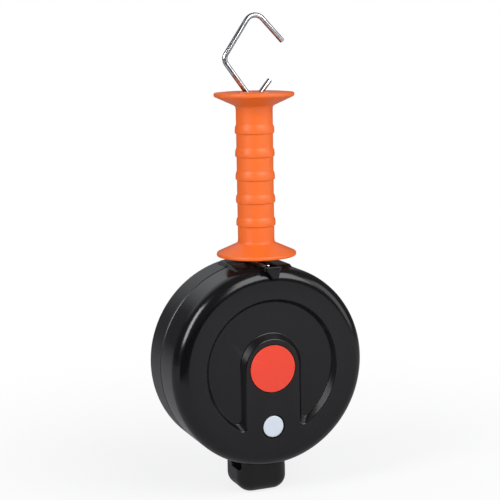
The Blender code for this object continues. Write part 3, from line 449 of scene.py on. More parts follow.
class Effects:
    """Shader node groups that several finishes share, each built once."""

    def __init__(self) -> None:
        """Build every group."""
        self.grain = self._grain()
        self.handling = self._handling()
        self.dust = self._dust()
        self.drawn = self._drawn()
        self.weave = self._weave()

    @staticmethod
    def _group(
        name: str, inputs: dict[str, float | Colour], outputs: Sequence[str]
    ) -> tuple[bpy.types.NodeTree, bpy.types.Node, bpy.types.Node]:
        """Start a shader node group.

        Args:
            name: The group's name.
            inputs: Default of each input socket by its name, a number or a colour.
            outputs: Name of each output socket. Those named Colour are colours.

        Returns:
            The node tree, its input node and its output node.
        """
        tree = bpy.data.node_groups.new(name, "ShaderNodeTree")
        for label, value in inputs.items():
            coloured = isinstance(value, tuple)
            kind = "NodeSocketColor" if coloured else "NodeSocketFloat"
            socket = tree.interface.new_socket(name=label, in_out="INPUT", socket_type=kind)
            socket.default_value = (*value, 1.0) if coloured else value
        for label in outputs:
            kind = "NodeSocketColor" if label == "Colour" else "NodeSocketFloat"
            tree.interface.new_socket(name=label, in_out="OUTPUT", socket_type=kind)
        return tree, tree.nodes.new("NodeGroupInput"), tree.nodes.new("NodeGroupOutput")

    @staticmethod
    def _put_out(tree: bpy.types.NodeTree, out: bpy.types.Node, **sockets: Socket) -> bpy.types.NodeTree:
        """Link what a group works out to its outputs.

        Args:
            tree: The group's tree.
            out: Its output node.
            sockets: What each output gives, by its name.

        Returns:
            The group's tree.
        """
        for label, socket in sockets.items():
            tree.links.new(socket, out.inputs[label])
        return tree

    def _grain(self) -> bpy.types.NodeTree:
        """Build the fine moulded grain.

        Returns:
            A group with a height, a roughness that drifts and a tone.
        """
        tree, given, out = self._group(
            "moulded_grain",
            {"Scale": 1500.0, "Base Roughness": 0.4, "Drift": 0.08},
            ("Height", "Roughness", "Tone"),
        )
        fine = noise(tree, given.outputs["Scale"], detail=3.0, roughness=0.6)
        broad = noise(tree, scale=22.0, detail=4.0)
        centred = math_node(tree, "SUBTRACT", broad, 0.5)
        drift = math_node(tree, "MULTIPLY", centred, given.outputs["Drift"])
        speckle = math_node(tree, "MULTIPLY_ADD", fine, SPECKLE, -SPECKLE / 2)
        rough = math_node(tree, "ADD", given.outputs["Base Roughness"], drift)
        rough = math_node(tree, "ADD", rough, speckle)
        return self._put_out(tree, out, Height=fine, Roughness=rough, Tone=broad)

    def _handling(self) -> bpy.types.NodeTree:
        """Build the paler rub marks on proud edges, from the surface's own curvature.

        Returns:
            A group with the worn colour and the mask of the marks.
        """
        tree, given, out = self._group(
            "handling_wear",
            {"Colour": (0.5, 0.5, 0.5), "Rubbed": (0.6, 0.6, 0.6), "Amount": 0.3},
            ("Colour", "Mask"),
        )
        shape = tree.nodes.new("ShaderNodeNewGeometry")
        edges = remap(tree, shape.outputs["Pointiness"], source=(0.52, 0.62))
        broken = math_node(tree, "MULTIPLY", edges, noise(tree, scale=160.0, detail=5.0))
        mask = math_node(tree, "MULTIPLY", broken, given.outputs["Amount"])
        mixed = mix_node(tree, mask, given.outputs["Colour"], given.outputs["Rubbed"])
        return self._put_out(tree, out, Colour=mixed, Mask=mask)

    def _dust(self) -> bpy.types.NodeTree:
        """Build a faint dust film that lies on what faces up.

        Returns:
            A group with the dusty colour and the mask of the film.
        """
        tree, given, out = self._group(
            "dust_film",
            {"Colour": (0.5, 0.5, 0.5), "Dust": (0.42, 0.40, 0.37), "Amount": 0.05},
            ("Colour", "Mask"),
        )
        shape = tree.nodes.new("ShaderNodeNewGeometry")
        upward = remap(tree, parts_of(tree, shape.outputs["Normal"])["Z"], source=(0.25, 1.0))
        lying = math_node(tree, "MULTIPLY", upward, noise(tree, scale=420.0, detail=6.0))
        mask = math_node(tree, "MULTIPLY", lying, given.outputs["Amount"])
        mixed = mix_node(tree, mask, given.outputs["Colour"], given.outputs["Dust"])
        return self._put_out(tree, out, Colour=mixed, Mask=mask)

    def _drawn(self) -> bpy.types.NodeTree:
        """Build the mottled zinc coat of a drawn wire.

        Returns:
            A group with the coat's colour, roughness and height.
        """
        tree, given, out = self._group(
            "drawn_zinc",
            {"Colour": (0.6, 0.6, 0.6), "Dull": (0.4, 0.4, 0.4), "Base Roughness": 0.25},
            ("Colour", "Roughness", "Height"),
        )
        patch = remap(tree, noise(tree, scale=240.0, detail=5.0), source=(0.42, 0.68))
        mixed = mix_node(tree, patch, given.outputs["Colour"], given.outputs["Dull"])
        duller = math_node(tree, "MULTIPLY", patch, BLOOM_DULLING)
        rough = math_node(tree, "ADD", given.outputs["Base Roughness"], duller)
        streaks = noise(tree, scale=2600.0, detail=2.0)
        return self._put_out(tree, out, Colour=mixed, Roughness=rough, Height=streaks)

    def _weave(self) -> bpy.types.NodeTree:
        """Build the plain weave of the tape, with fine metal strands along the pull, and painted shade that
        darkens the weave's low spots.

        Returns:
            A group with the weave's colour and height, and the mask of the strands.
        """
        tree, given, out = self._group(
            "tape_weave_painted_shade",
            {"Yarn": (0.85, 0.85, 0.82), "Strand": (0.45, 0.46, 0.48), "Threads": 900.0},
            ("Colour", "Height", "Strands"),
        )
        spot = parts_of(tree, tree.nodes.new("ShaderNodeTexCoord").outputs["Object"])
        pitch = math_node(tree, "MULTIPLY", given.outputs["Threads"], math.tau)
        across, along = (
            math_node(tree, "SINE", math_node(tree, "MULTIPLY", spot[side], pitch)) for side in "YZ"
        )
        crossing = math_node(tree, "MULTIPLY", across, along)
        height = math_node(tree, "MULTIPLY_ADD", crossing, 0.5, 0.5)
        bands = math_node(tree, "SINE", math_node(tree, "MULTIPLY", spot["Y"], STRANDS * math.tau))
        strands = math_node(tree, "GREATER_THAN", bands, STRAND_EDGE)
        # Painted shade: the weave's low spots are darkened towards grey by their height.
        shade = mix_node(tree, height, (0.62, 0.62, 0.60), given.outputs["Yarn"])
        mixed = mix_node(tree, strands, shade, given.outputs["Strand"])
        return self._put_out(tree, out, Colour=mixed, Height=height, Strands=strands)


def noise(
    tree: bpy.types.NodeTree, scale: Socket | float, detail: float, roughness: float = 0.5
) -> Socket:
    """Add a noise on the object's own coordinates.

    Args:
        tree: Tree that the nodes go in.
        scale: Its scale, a socket or a number.
        detail: Its layers of finer noise.
        roughness: How strong the finer layers are.

    Returns:
        The noise's socket.
    """
    node = tree.nodes.new("ShaderNodeTexNoise")
    node.inputs["Detail"].default_value = detail
    node.inputs["Roughness"].default_value = roughness
    point = tree.nodes.new("ShaderNodeTexCoord").outputs["Object"]
    tree.links.new(point, node.inputs["Vector"])
    feed(tree, node.inputs["Scale"], scale)
    return node.outputs["Fac"]


def remap(
    tree: bpy.types.NodeTree, value: Socket, source: Flat, target: Flat = (0.0, 1.0), way: str = "LINEAR"
) -> Socket:
    """Add a Map Range node.

    Args:
        tree: Tree that the node goes in.
        value: What it maps.
        source: Range that it maps from.
        target: Range that it maps to.
        way: How it runs between the two ends.

    Returns:
        The mapped value's socket.
    """
    node = tree.nodes.new("ShaderNodeMapRange")
    node.interpolation_type = way
    node.inputs["From Min"].default_value, node.inputs["From Max"].default_value = source
    node.inputs["To Min"].default_value, node.inputs["To Max"].default_value = target
    tree.links.new(value, node.inputs["Value"])
    return node.outputs["Result"]


def parts_of(tree: bpy.types.NodeTree, vector: Socket) -> bpy.types.bpy_prop_collection:
    """Split a vector.

    Args:
        tree: Tree that the node goes in.
        vector: The vector's socket.

    Returns:
        The sockets of its parts, by X, Y and Z.
    """
    node = tree.nodes.new("ShaderNodeSeparateXYZ")
    tree.links.new(vector, node.inputs["Vector"])
    return node.outputs


def feed(tree: bpy.types.NodeTree, target: Socket, value: Socket | float | Colour) -> None:
    """Link a socket to another, or set it.

    Args:
        tree: Tree that holds it.
        target: The socket to feed.
        value: A socket to link, or a number or colour to set.
    """
    if isinstance(value, bpy.types.NodeSocket):
        tree.links.new(value, target)
    else:
        target.default_value = (*value, 1.0) if isinstance(value, tuple) else value


def math_node(tree: bpy.types.NodeTree, operation: str, *values: Socket | float) -> Socket:
    """Add a Math node.

    Args:
        tree: Tree that the node goes in.
        operation: What it works out.
        values: A socket or a number for each input.

    Returns:
        Its output socket.
    """
    node = tree.nodes.new("ShaderNodeMath")
    node.operation = operation
    for target, value in zip(node.inputs, values):
        feed(tree, target, value)
    return node.outputs["Value"]


def mix_node(
    tree: bpy.types.NodeTree, share: Socket, first: Socket | Colour, second: Socket | Colour
) -> Socket:
    """Add a node that mixes two colours.

    Args:
        tree: Tree that the node goes in.
        share: Share of the second colour.
        first: A colour or its socket.
        second: A colour or its socket.

    Returns:
        The mixed colour's socket.
    """
    node = tree.nodes.new("ShaderNodeMix")
    node.data_type = "RGBA"
    tree.links.new(share, node.inputs["Factor"])
    feed(tree, node.inputs[MIX_FIRST], first)
    feed(tree, node.inputs[MIX_SECOND], second)
    return node.outputs[MIX_RESULT]


@dataclass(frozen=True)
class Finish:
    """A finish's name, its slot in the record and its plain values."""

    name: str
    slot: str
    colour: Colour
    roughness: float

    def start(self) -> tuple[bpy.types.NodeTree, bpy.types.Node, bpy.types.Material]:
        """Make the bare material.

        Returns:
            Its node tree, its shader and the material.
        """
        material = bpy.data.materials.new(self.name)
        material.use_nodes = True
        material.diffuse_color = (*self.colour, 1.0)
        return material.node_tree, material.node_tree.nodes["Principled BSDF"], material

    def material(self, effects: Effects) -> bpy.types.Material:
        """Make the finish's material."""
        raise NotImplementedError

    @staticmethod
    def use(
        tree: bpy.types.NodeTree, group: bpy.types.NodeTree, **values: float | Colour | Socket
    ) -> bpy.types.Node:
        """Place a shared group in a material.

        Args:
            tree: The material's tree.
            group: The shared group.
            values: A socket, number or colour for its inputs, with _ for a space.

        Returns:
            The group's node.
        """
        node = tree.nodes.new("ShaderNodeGroup")
        node.node_tree = group
        for label, value in values.items():
            feed(tree, node.inputs[label.replace("_", " ")], value)
        return node

    @staticmethod
    def bump(
        tree: bpy.types.NodeTree, shader: bpy.types.Node, height: Socket, strength: float, depth: float
    ) -> None:
        """Give a shader a bump.

        Args:
            tree: The material's tree.
            shader: Its Principled shader.
            height: The height's socket.
            strength: Strength of the bump.
            depth: Its depth in millimetres.
        """
        node = tree.nodes.new("ShaderNodeBump")
        node.inputs["Strength"].default_value = strength
        node.inputs["Distance"].default_value = depth * MM
        tree.links.new(height, node.inputs["Height"])
        tree.links.new(node.outputs["Normal"], shader.inputs["Normal"])


@dataclass(frozen=True)
class MouldedPlastic(Finish):
    """Injection-moulded plastic with a fine grain, rubbed edges and a little dust."""

    rubbed: Colour
    grain_scale: float = 1500.0
    grain_depth: float = 0.05
    grain_strength: float = 0.25
    drift: float = 0.08
    wear: float = 0.3
    dust: float = 0.04
    dust_roughness: float = 1.5
    specular: float = 0.5
    tone_spread: float = 0.12

    def material(self, effects: Effects) -> bpy.types.Material:
        """Make the plastic's material.

        Args:
            effects: The shared groups.

        Returns:
            The material.
        """
        tree, shader, material = self.start()
        grain = self.use(
            tree, effects.grain, Scale=self.grain_scale, Base_Roughness=self.roughness, Drift=self.drift
        )
        darker = tuple(value * (1.0 - self.tone_spread) for value in self.colour)
        toned = mix_node(tree, grain.outputs["Tone"], darker, self.colour)
        worn = self.use(tree, effects.handling, Colour=toned, Rubbed=self.rubbed, Amount=self.wear)
        dusty = self.use(tree, effects.dust, Colour=worn.outputs["Colour"], Amount=self.dust)
        tree.links.new(dusty.outputs["Colour"], shader.inputs["Base Color"])
        rough = math_node(
            tree, "MULTIPLY_ADD", dusty.outputs["Mask"], self.dust_roughness, grain.outputs["Roughness"]
        )
        tree.links.new(rough, shader.inputs["Roughness"])
        shader.inputs["Specular IOR Level"].default_value = self.specular
        self.bump(tree, shader, grain.outputs["Height"], self.grain_strength, self.grain_depth)
        return material


@dataclass(frozen=True)
class PlatedWire(Finish):
    """Zinc-plated steel wire, bright where it is drawn and duller in blooms, with painted shade: its colour
    darkens towards its outline as the surface turns from the camera.
    """

    dull: Colour
    # Painted shade: these three set how the wire's colour darkens towards its outline.
    edge_blend: float = 0.42
    painted_edge_darkening: float = 1.2
    painted_edge_shade_colour: Colour = (0.03, 0.03, 0.035)
    streak_strength: float = 0.15
    streak_depth: float = 0.02

    def material(self, effects: Effects) -> bpy.types.Material:
        """Make the plated metal's material.

        Args:
            effects: The shared groups.

        Returns:
            The material.
        """
        tree, shader, material = self.start()
        coat = self.use(
            tree, effects.drawn, Colour=self.colour, Dull=self.dull, Base_Roughness=self.roughness
        )
        # Painted shade: the colour is darkened towards the wire's outline by how far the surface turns from
        # the camera, standing in for dark reflections.
        edge = tree.nodes.new("ShaderNodeLayerWeight")
        edge.inputs["Blend"].default_value = self.edge_blend
        shade = math_node(tree, "MULTIPLY", edge.outputs["Facing"], self.painted_edge_darkening)
        darker = mix_node(tree, shade, coat.outputs["Colour"], self.painted_edge_shade_colour)
        tree.links.new(darker, shader.inputs["Base Color"])
        tree.links.new(coat.outputs["Roughness"], shader.inputs["Roughness"])
        shader.inputs["Metallic"].default_value = 1.0
        self.bump(tree, shader, coat.outputs["Height"], self.streak_strength, self.streak_depth)
        return material


@dataclass(frozen=True)
class WovenTape(Finish):
    """Woven polymer tape with fine conducting strands."""

    strand: Colour
    strand_gloss: float = 0.4
    weave_strength: float = 0.5
    weave_depth: float = 0.15

    def material(self, effects: Effects) -> bpy.types.Material:
        """Make the tape's material.

        Args:
            effects: The shared groups.

        Returns:
            The material.
        """
        tree, shader, material = self.start()
        weave = self.use(tree, effects.weave, Yarn=self.colour, Strand=self.strand)
        tree.links.new(weave.outputs["Colour"], shader.inputs["Base Color"])
        rough = math_node(
            tree, "MULTIPLY_ADD", weave.outputs["Strands"], -self.strand_gloss, self.roughness
        )
        tree.links.new(rough, shader.inputs["Roughness"])
        self.bump(tree, shader, weave.outputs["Height"], self.weave_strength, self.weave_depth)
        return material


# Shaded copy of the charcoal housing: the same colour with weaker, rougher gloss, which paints the recess
# walls darker.
SHADED_WALLS_COPY = "shaded_copy_recess_walls"
# Lit copy of the charcoal housing for the rear shell: paler colour and stronger gloss paint it lighter than
# the front shell.
LIT_REAR_COPY = "lit_copy_rear_housing"


class Finishes:
    """Every finish of the reel, as materials, by its own name and by the record's slot."""

    def __init__(self, effects: Effects) -> None:
        """Make every material once.

        Args:
            effects: The shared groups.
        """
        charcoal = MouldedPlastic(
            "charcoal_housing",
            "black_abs",
            (0.0034, 0.0031, 0.0039),
            0.17,
            rubbed=(0.035, 0.035, 0.038),
            grain_depth=0.035,
            drift=0.05,
            specular=0.38,
            dust=0.02,
        )
        kinds: tuple[Finish, ...] = (
            charcoal,
            # shaded copy for the recess walls, painted darker by its weaker gloss
            replace(charcoal, name=SHADED_WALLS_COPY, roughness=0.31, specular=0.17),
            # lit copy for the rear shell, painted lighter than the front shell
            MouldedPlastic(
                LIT_REAR_COPY,
                "black_abs",
                (0.0070, 0.0066, 0.0078),
                0.36,
                rubbed=(0.04, 0.04, 0.043),
                specular=0.5,
                dust=0.02,
            ),
            MouldedPlastic(
                "orange_grip",
                "orange_plastic",
                (0.725, 0.124, 0.013),
                0.42,
                rubbed=(0.90, 0.26, 0.08),
                specular=0.42,
                grain_scale=1100.0,
                tone_spread=0.06,
                dust=0.02,
            ),
            MouldedPlastic(
                "bare_red_label",
                "red_label",
                (0.66, 0.048, 0.024),
                0.36,
                rubbed=(0.92, 0.20, 0.14),
                specular=0.3,
                grain_scale=2600.0,
                grain_depth=0.01,
                tone_spread=0.05,
                dust=0.0,
            ),
            MouldedPlastic(
                "pale_plug",
                "grey_plug",
                (0.52, 0.57, 0.63),
                0.34,
                rubbed=(0.80, 0.84, 0.88),
                tone_spread=0.05,
                dust=0.0,
            ),
            MouldedPlastic(
                "black_spool", "black_nylon", (0.024, 0.024, 0.027), 0.5, rubbed=(0.08, 0.08, 0.08)
            ),
            MouldedPlastic(
                "plain_nylon", "natural_nylon", (0.80, 0.79, 0.74), 0.5, rubbed=(0.85, 0.84, 0.8), wear=0.1
            ),
            PlatedWire(
                "bright_zinc",
                "zinc_wire",
                (0.88, 0.89, 0.91),
                0.09,
                dull=(0.50, 0.52, 0.56),
                # stronger painted shade towards the hook's outline
                painted_edge_darkening=1.7,
            ),
            PlatedWire("plated_steel", "turned_steel", (0.62, 0.63, 0.64), 0.28, dull=(0.46, 0.46, 0.47)),
            PlatedWire("blued_spring", "spring_steel", (0.26, 0.28, 0.34), 0.32, dull=(0.18, 0.19, 0.22)),
            WovenTape("white_tape", "white_tape", (0.86, 0.87, 0.85), 0.8, strand=(0.45, 0.46, 0.48)),
        )
        self.by_name = {kind.name: kind.material(effects) for kind in kinds}
        self.by_slot = {kind.slot: self.by_name[kind.name] for kind in reversed(kinds)}


class Workshop:
    """Makes finished pieces out of forms, and dresses the CAD nodes that stay."""

    def __init__(self, finishes: Finishes) -> None:
        """Start a workshop with a collection for its pieces.

        Args:
            finishes: The finishes that it dresses them in.
        """
        self.finishes = finishes
        self.collection = bpy.data.collections.new("gate_reel_pieces")
        bpy.context.scene.collection.children.link(self.collection)

    def piece(
        self,
        name: str,
        form: Form,
        slot: str,
        body: Body | None,
        stands_for: Sequence[str] = (),
        sharp: float = 38.0,
        weighted: bool = False,
        finish: str = "",
    ) -> bpy.types.Object:
        """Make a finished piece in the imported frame.

        Args:
            name: The piece's name.
            form: Its form in the drum's frame, which is used up.
            slot: The record's material slot.
            body: The body that it rides on, or None where it is blended.
            stands_for: CAD nodes that it takes the place of.
            sharp: Angle in degrees past which an edge stays crisp.
            weighted: Whether large flats keep their shading flat.
            finish: Name of its finish, where it isn't the slot's usual one.

        Returns:
            The piece.
        """
        mesh = bpy.data.meshes.new(name)
        form.transform(TO_FRAME)
        form.to_mesh(mesh)
        form.free()
        mesh.shade_smooth()
        mesh.set_sharp_from_angle(angle=math.radians(sharp))
        mesh.materials.append(self.finishes.by_name.get(finish, self.finishes.by_slot[slot]))
        made = bpy.data.objects.new(name, mesh)
        self.collection.objects.link(made)
        if weighted:
            modifier = made.modifiers.new("flat_shading", "WEIGHTED_NORMAL")
            modifier.keep_sharp = True
        if body is not None:
            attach(made, body.value)
        if stands_for:
            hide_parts(*stands_for)
        LOG.info("%s: %d faces in %s", name, len(mesh.polygons), slot)
        return made

    def dress(self, *nodes: str) -> None:
        """Give CAD nodes that stay the finish of their slot.

        Args:
            nodes: The nodes' names.
        """
        slots = {part["node"]: part["material_slot"] for part in frame["record"]["subparts"]}
        for name in nodes:
            node = frame["nodes"][name]
            node.data.materials.clear()
            node.data.materials.append(self.finishes.by_slot[slots[name]])
            LOG.info("%s: CAD node dressed as %s", name, slots[name])


def rounded_slot(
    half_width: float, half_length: float, corner: float, at: Flat = (0.0, 0.0), count: int = 8
) -> list[Flat]:
    """Return a flat rectangle with rounded corners, long along Y, round a point.

    Args:
        half_width: Half its size across.
        half_length: Half its size along Y.
        corner: Radius of its corners.
        at: Its middle.
        count: Steps in each corner.

    Returns:
        The outline's points, from the front left corner round.
    """
    x, y = at
    side = half_width - corner
    end = half_length - corner
    outline = arc((x - side, y - end), corner, 180.0, 270.0, count)
    outline += arc((x + side, y - end), corner, 270.0, 360.0, count)
    outline += arc((x + side, y + end), corner, 0.0, 90.0, count)
    return outline + arc((x - side, y + end), corner, 90.0, 180.0, count)


@dataclass(frozen=True)
class Fit:
    """Sizes that the shells share with the pieces fitted in them."""

    face_y: float = -30.0
    label_radius: float = 18.7
    label_seat: float = 0.5
    plug_z: float = -46.7
    plug_radius: float = 8.5
    plug_head: float = 1.6
    plug_stem: float = 5.4
    screw_circle: float = 70.0
    screw_angles: tuple[float, ...] = (45.0, 135.0, 225.0, 315.0)
    screw_tip_y: float = -15.0


FIT = Fit()


@dataclass
class Housing:
    """The two-part moulded drum with its recess, tape outlet and lug."""

    shop: Workshop
    radius: float = 80.0
    front_y: float = FIT.face_y
    rear_y: float = 34.0
    parting_y: float = 6.0
    shoulder: float = 11.0
    rear_edge: float = 3.0
    wall: float = 2.8
    facets: int = 160
    recess_radius: float = 55.0
    recess_depth: float = 4.0
    recess_back_y: float = -23.2
    recess_back_radius: float = 57.5
    recess_back_slope: float = 2.0
    inner_round: float = 1.0
    island_half_width: float = 22.4
    island_rise: float = 0.6
    island_slope: Flat = (1.1, 0.5)  # how it narrows and sinks where the outline is grown
    tip_radius: float = 3.4
    wall_run: float = 3.0  # how far the recess's wall slopes in
    rim_round: float = 0.9
    floor_round: float = 0.8
    rim_rise: Flat = (0.4, -0.01)  # height over the face where the tool starts and turns in
    # Where the shaded copy goes, painting the walls darker: inside this radius and between these depths
    # behind the face.
    shaded_wall_radius: float = 58.0
    shaded_wall_depths: Flat = (0.4, 3.7)
    label_chamfer: Flat = (0.4, 0.3)
    plug_groove: Flat = (0.9, 0.4)
    plug_groove_depth: float = 1.2
    outlet_top: float = 81.0
    outlet_foot: float = 78.0
    outlet_edge: float = 0.6
    outlet_rim: float = 1.3
    outlet_half_width: float = 7.2
    outlet_half_length: float = 34.5
    outlet_corner: float = 2.2
    outlet_block_foot: float = 67.0
    outlet_block_half: float = 8.2
    funnel_foot: float = 76.3
    throat: Place = (5.2, 22.8, 4.6)
    mouth: Place = (6.0, 33.3, 1.4)
    mouth_flare: tuple[Flat, ...] = ((0.0, -0.9), (0.05, -0.5), (0.2, -0.2), (0.5, 0.05), (0.5, 1.0))
    beak_back: float = -27.0
    beak: tuple[tuple[float, ...], ...] = (  # height, half width, front, middle and corner
        (69.0, 2.0, -29.6, 2.2, 0.8),
        (71.5, 2.7, -33.2, 2.2, 1.1),
        (71.8, 2.8, -33.5, 2.2, 1.2),
        (80.0, 7.1, -34.4, 0.0, 2.2),
    )
    pad_half: float = 21.5
    pad_ends: Flat = (-18.0, 26.0)
    pad_corner: float = 3.0
    pad_slope: tuple[Corner, ...] = ((4.0, 74.5, 0.0), (0.0, 79.4, 1.6), (-2.5, 79.4, 0.0))
    lug_top: float = -60.0
    lug_half: float = 20.8
    lug_corner: float = 12.0
    lug_foot_round: float = 11.0
    lug_wall: float = 3.2
    lug_pocket_top: float = -90.0
    slot_low: Place = (-26.0, -7.0, -87.0)
    slot_high: Place = (26.0, 10.0, -64.0)
    slot_round: float = 2.5
    edge_break: float = 0.5
    break_angle: float = 0.7  # in radians
    break_below: float = -62.0
    screw_seat_y: float = 20.0
    screw_well: float = 4.1
    well_edge: float = 0.6
    well_round: float = 0.4
    well_lift: float = 0.1
    screw_hole: float = 2.2
    screw_boss: float = 5.6
    hub_boss: float = 8.5
    socket_depth: float = 20.0
    journal_bore: float = 4.4
    journal_end: float = 23.6
    tang_half: float = 4.3
    tang_end: float = 28.5
    guide_pins_x: Flat = (-2.6, 2.6)
    guide_pin_z: float = 71.0
    guide_pin_bore: float = 2.3
    guide_pin_reach: float = 25.3
    arbor_sink: tuple[Flat, ...] = ((0.0, 6.2), (2.3, 6.2), (2.3, 2.1), (4.7, -0.3), (0.0, -0.3))
    groove: tuple[Flat, ...] = (  # out from the drum's side, and forward of the parting plane
        (1.0, 1.5),
        (1.0, -1.5),
        (0.05, -1.5),
        (-0.05, -1.2),
        (-0.9, -0.3),
        (-0.9, 0.15),
        (-0.1, 0.45),
        (0.05, 1.5),
    )
    lip_walls: Flat = (1.0, 0.9)  # in and out from the drum's inner side
    lip_ends: Flat = (2.8, 1.0)  # forward and back from the parting plane
    lip_gap: float = 0.8

    def build(self) -> None:
        """Make both shells and dress what is sealed in them."""
        whole = carved(self._drum(), [*self._outside(), *self._inside(), *self._face(), *self._fasteners()])
        other = whole.copy()
        front = carved(whole, [(Carve.TAKE, self._beyond(1.0)), (Carve.TAKE, self._lip(SEAT_GAP))])
        rear = carved(other, [(Carve.TAKE, self._before())])
        # The rear shell takes the lit copy of the housing's finish, painted lighter than the front shell.
        shells = [
            self.shop.piece(
                f"{node}_moulding",
                form,
                "black_abs",
                Body.HOUSING,
                (node,),
                sharp=32.0,
                weighted=True,
                finish=finish,
            )
            for node, form, finish in (("front_shell", front, ""), ("rear_shell", rear, LIT_REAR_COPY))
        ]
        # The recess walls get the shaded copy, painted darker than the face.
        self._paint_wall_shade(shells[0])
        self.shop.dress("guide_pin_left", "guide_pin_right", "arbor")
        self.shop.dress("thrust_washer_front", "thrust_washer_rear", "tape_span")

    def _paint_wall_shade(self, shell: bpy.types.Object) -> None:
        """Give the walls of the recess and of the plug's seat a shaded copy of the housing's finish, whose
        weaker, rougher gloss paints them darker.

        Args:
            shell: The front shell's piece.
        """
        shell.data.materials.append(self.shop.finishes.by_name[SHADED_WALLS_COPY])
        low, high = self.shaded_wall_depths
        for face in shell.data.polygons:
            middle = face.center / MM
            depth = middle.y - PULL_PLANE_Y - self.front_y
            out = math.hypot(middle.x, middle.z - AXIS_HEIGHT)
            if out < self.shaded_wall_radius and low < depth < high:
                face.material_index = 1

    def _drum(self) -> Form:
        """Shape the drum's outside.

        Returns:
            The drum.
        """
        corners = [
            (0.0, -self.front_y, 0.0),
            (self.radius, -self.front_y, self.shoulder),
            (self.radius, -self.rear_y, self.rear_edge),
            (0.0, -self.rear_y, 0.0),
        ]
        return turned(softened(corners, count=14), self.facets)

    def _outside(self) -> list[tuple[Carve, Form]]:
        """Return the tools that add the lug and the outlet's pad, beak and rim."""
        return [(Carve.ADD, form) for form in (self._lug(), self._pad(), self._beak(), self._rim())]

    def _rim(self) -> Form:
        """Shape the raised rim round the tape outlet, its top edge rounded.

        Returns:
            The rim.
        """
        corners = [
            (0.0, self.outlet_foot, 0.0),
            (0.0, self.outlet_top, self.outlet_edge),
            (self.outlet_rim, self.outlet_top, 0.0),
        ]
        sizes = (self.outlet_half_width, self.outlet_half_length, self.outlet_corner)
        return stacked(
            (height, rounded_slot(*(size - inset for size in sizes)))
            for inset, height in softened(corners, 4)
        )

    def _beak(self) -> Form:
        """Shape the beak that runs from the outlet's front end down to the drum's face.

        Returns:
            The beak.
        """
        back = self.beak_back
        return stacked(
            (z, rounded_slot(half, (back - front) / 2, corner, (x, (front + back) / 2)))
            for z, half, front, x, corner in self.beak
        )

    def _pad(self) -> Form:
        """Shape the low flat pad on the drum's round side that the outlet stands on.

        Returns:
            The pad.
        """
        front, rear = self.pad_ends
        sizes = (self.pad_half, (rear - front) / 2, self.pad_corner)
        middle = (0.0, (front + rear) / 2)
        return stacked(
            (height, rounded_slot(*(size + wider for size in sizes), middle))
            for wider, height in softened(self.pad_slope, 5)
        )

    def _lug(self) -> Form:
        """Shape the rounded lug with its cross slot, the slot's edges softened.

        Returns:
            The lug.
        """
        slot = block(self.slot_low, self.slot_high)
        foot = self.slot_low[2]
        round_edges(
            slot,
            self.slot_round,
            6,
            lambda a, b: abs(a.z - foot) + abs(b.z - foot) < NEAR and abs(a.x - b.x) > LONG,
        )
        form = carved(self._lug_block(0.0, self.lug_top), [(Carve.TAKE, slot)])
        crisp = [
            edge
            for edge in form.edges
            if len(edge.link_faces) == 2
            and edge.calc_face_angle(0.0) > self.break_angle
            and edge.verts[0].co.z < self.break_below
        ]
        bmesh.ops.bevel(
            form, geom=crisp, offset=self.edge_break, segments=3, profile=0.5, affect="EDGES", material=-1
        )
        return form

    def _lug_block(self, inset: float, top: float) -> Form:
        """Shape the lug's rounded block.

        Args:
            inset: How far it is drawn in.
            top: Height of its top.

        Returns:
            The block.
        """
        half = self.lug_half - inset
        foot = inset - AXIS_HEIGHT
        middle = -PULL_PLANE_Y
        form = block((-half, middle - half, foot), (half, middle + half, top))
        round_edges(form, self.lug_corner - inset, 12, lambda a, b: abs(a.z - b.z) > LONG)
        round_edges(
            form, self.lug_foot_round - inset, 12, lambda a, b: abs(a.z - foot) + abs(b.z - foot) < NEAR
        )
        return form

    def _inside(self) -> list[tuple[Carve, Form]]:
        """Shape what hollows the drum, leaves its bosses and opens the tape's way out.

        Returns:
            The tools.
        """
        inner = self.radius - self.wall
        front = -(self.front_y + self.wall)
        corners = [
            (0.0, -self.recess_back_y, 0.0),
            (self.recess_back_radius, -self.recess_back_y, self.inner_round),
            (self.recess_back_radius + self.recess_back_slope, front, self.inner_round),
            (inner, front, self.shoulder - self.wall),
            (inner, self.wall - self.rear_y, self.inner_round),
            (0.0, self.wall - self.rear_y, 0.0),
        ]
        start = self.front_y + OVERLAP
        end = self.rear_y - OVERLAP
        depth = self.socket_depth
        kept = [
            bar(self.screw_boss, start, end, on_circle(FIT.screw_circle, degrees))
            for degrees in FIT.screw_angles
        ]
        kept.append(bar(self.hub_boss, start + OVERLAP, -depth, (0.0, 0.0), steps=32))
        kept.append(bar(self.hub_boss, depth, end, (0.0, 0.0), steps=32))
        half = self.outlet_block_half
        kept.append(block((-half, start, self.outlet_block_foot), (half, end, self.radius)))
        hollow = turned(softened(corners, count=4), steps=96)
        cavity = carved(hollow, [(Carve.TAKE, form) for form in kept])
        levels = [(z, self.throat, 0.0) for z in (self.outlet_block_foot - OVERLAP, self.funnel_foot)]
        levels += [(self.outlet_top + rise, self.mouth, wider) for wider, rise in self.mouth_flare]
        passage = stacked(
            (z, rounded_slot(*(length + wider for length in size))) for z, size, wider in levels
        )
        pocket = self._lug_block(self.lug_wall, self.lug_pocket_top)
        return [(Carve.TAKE, cavity), (Carve.TAKE, pocket), (Carve.TAKE, passage)]

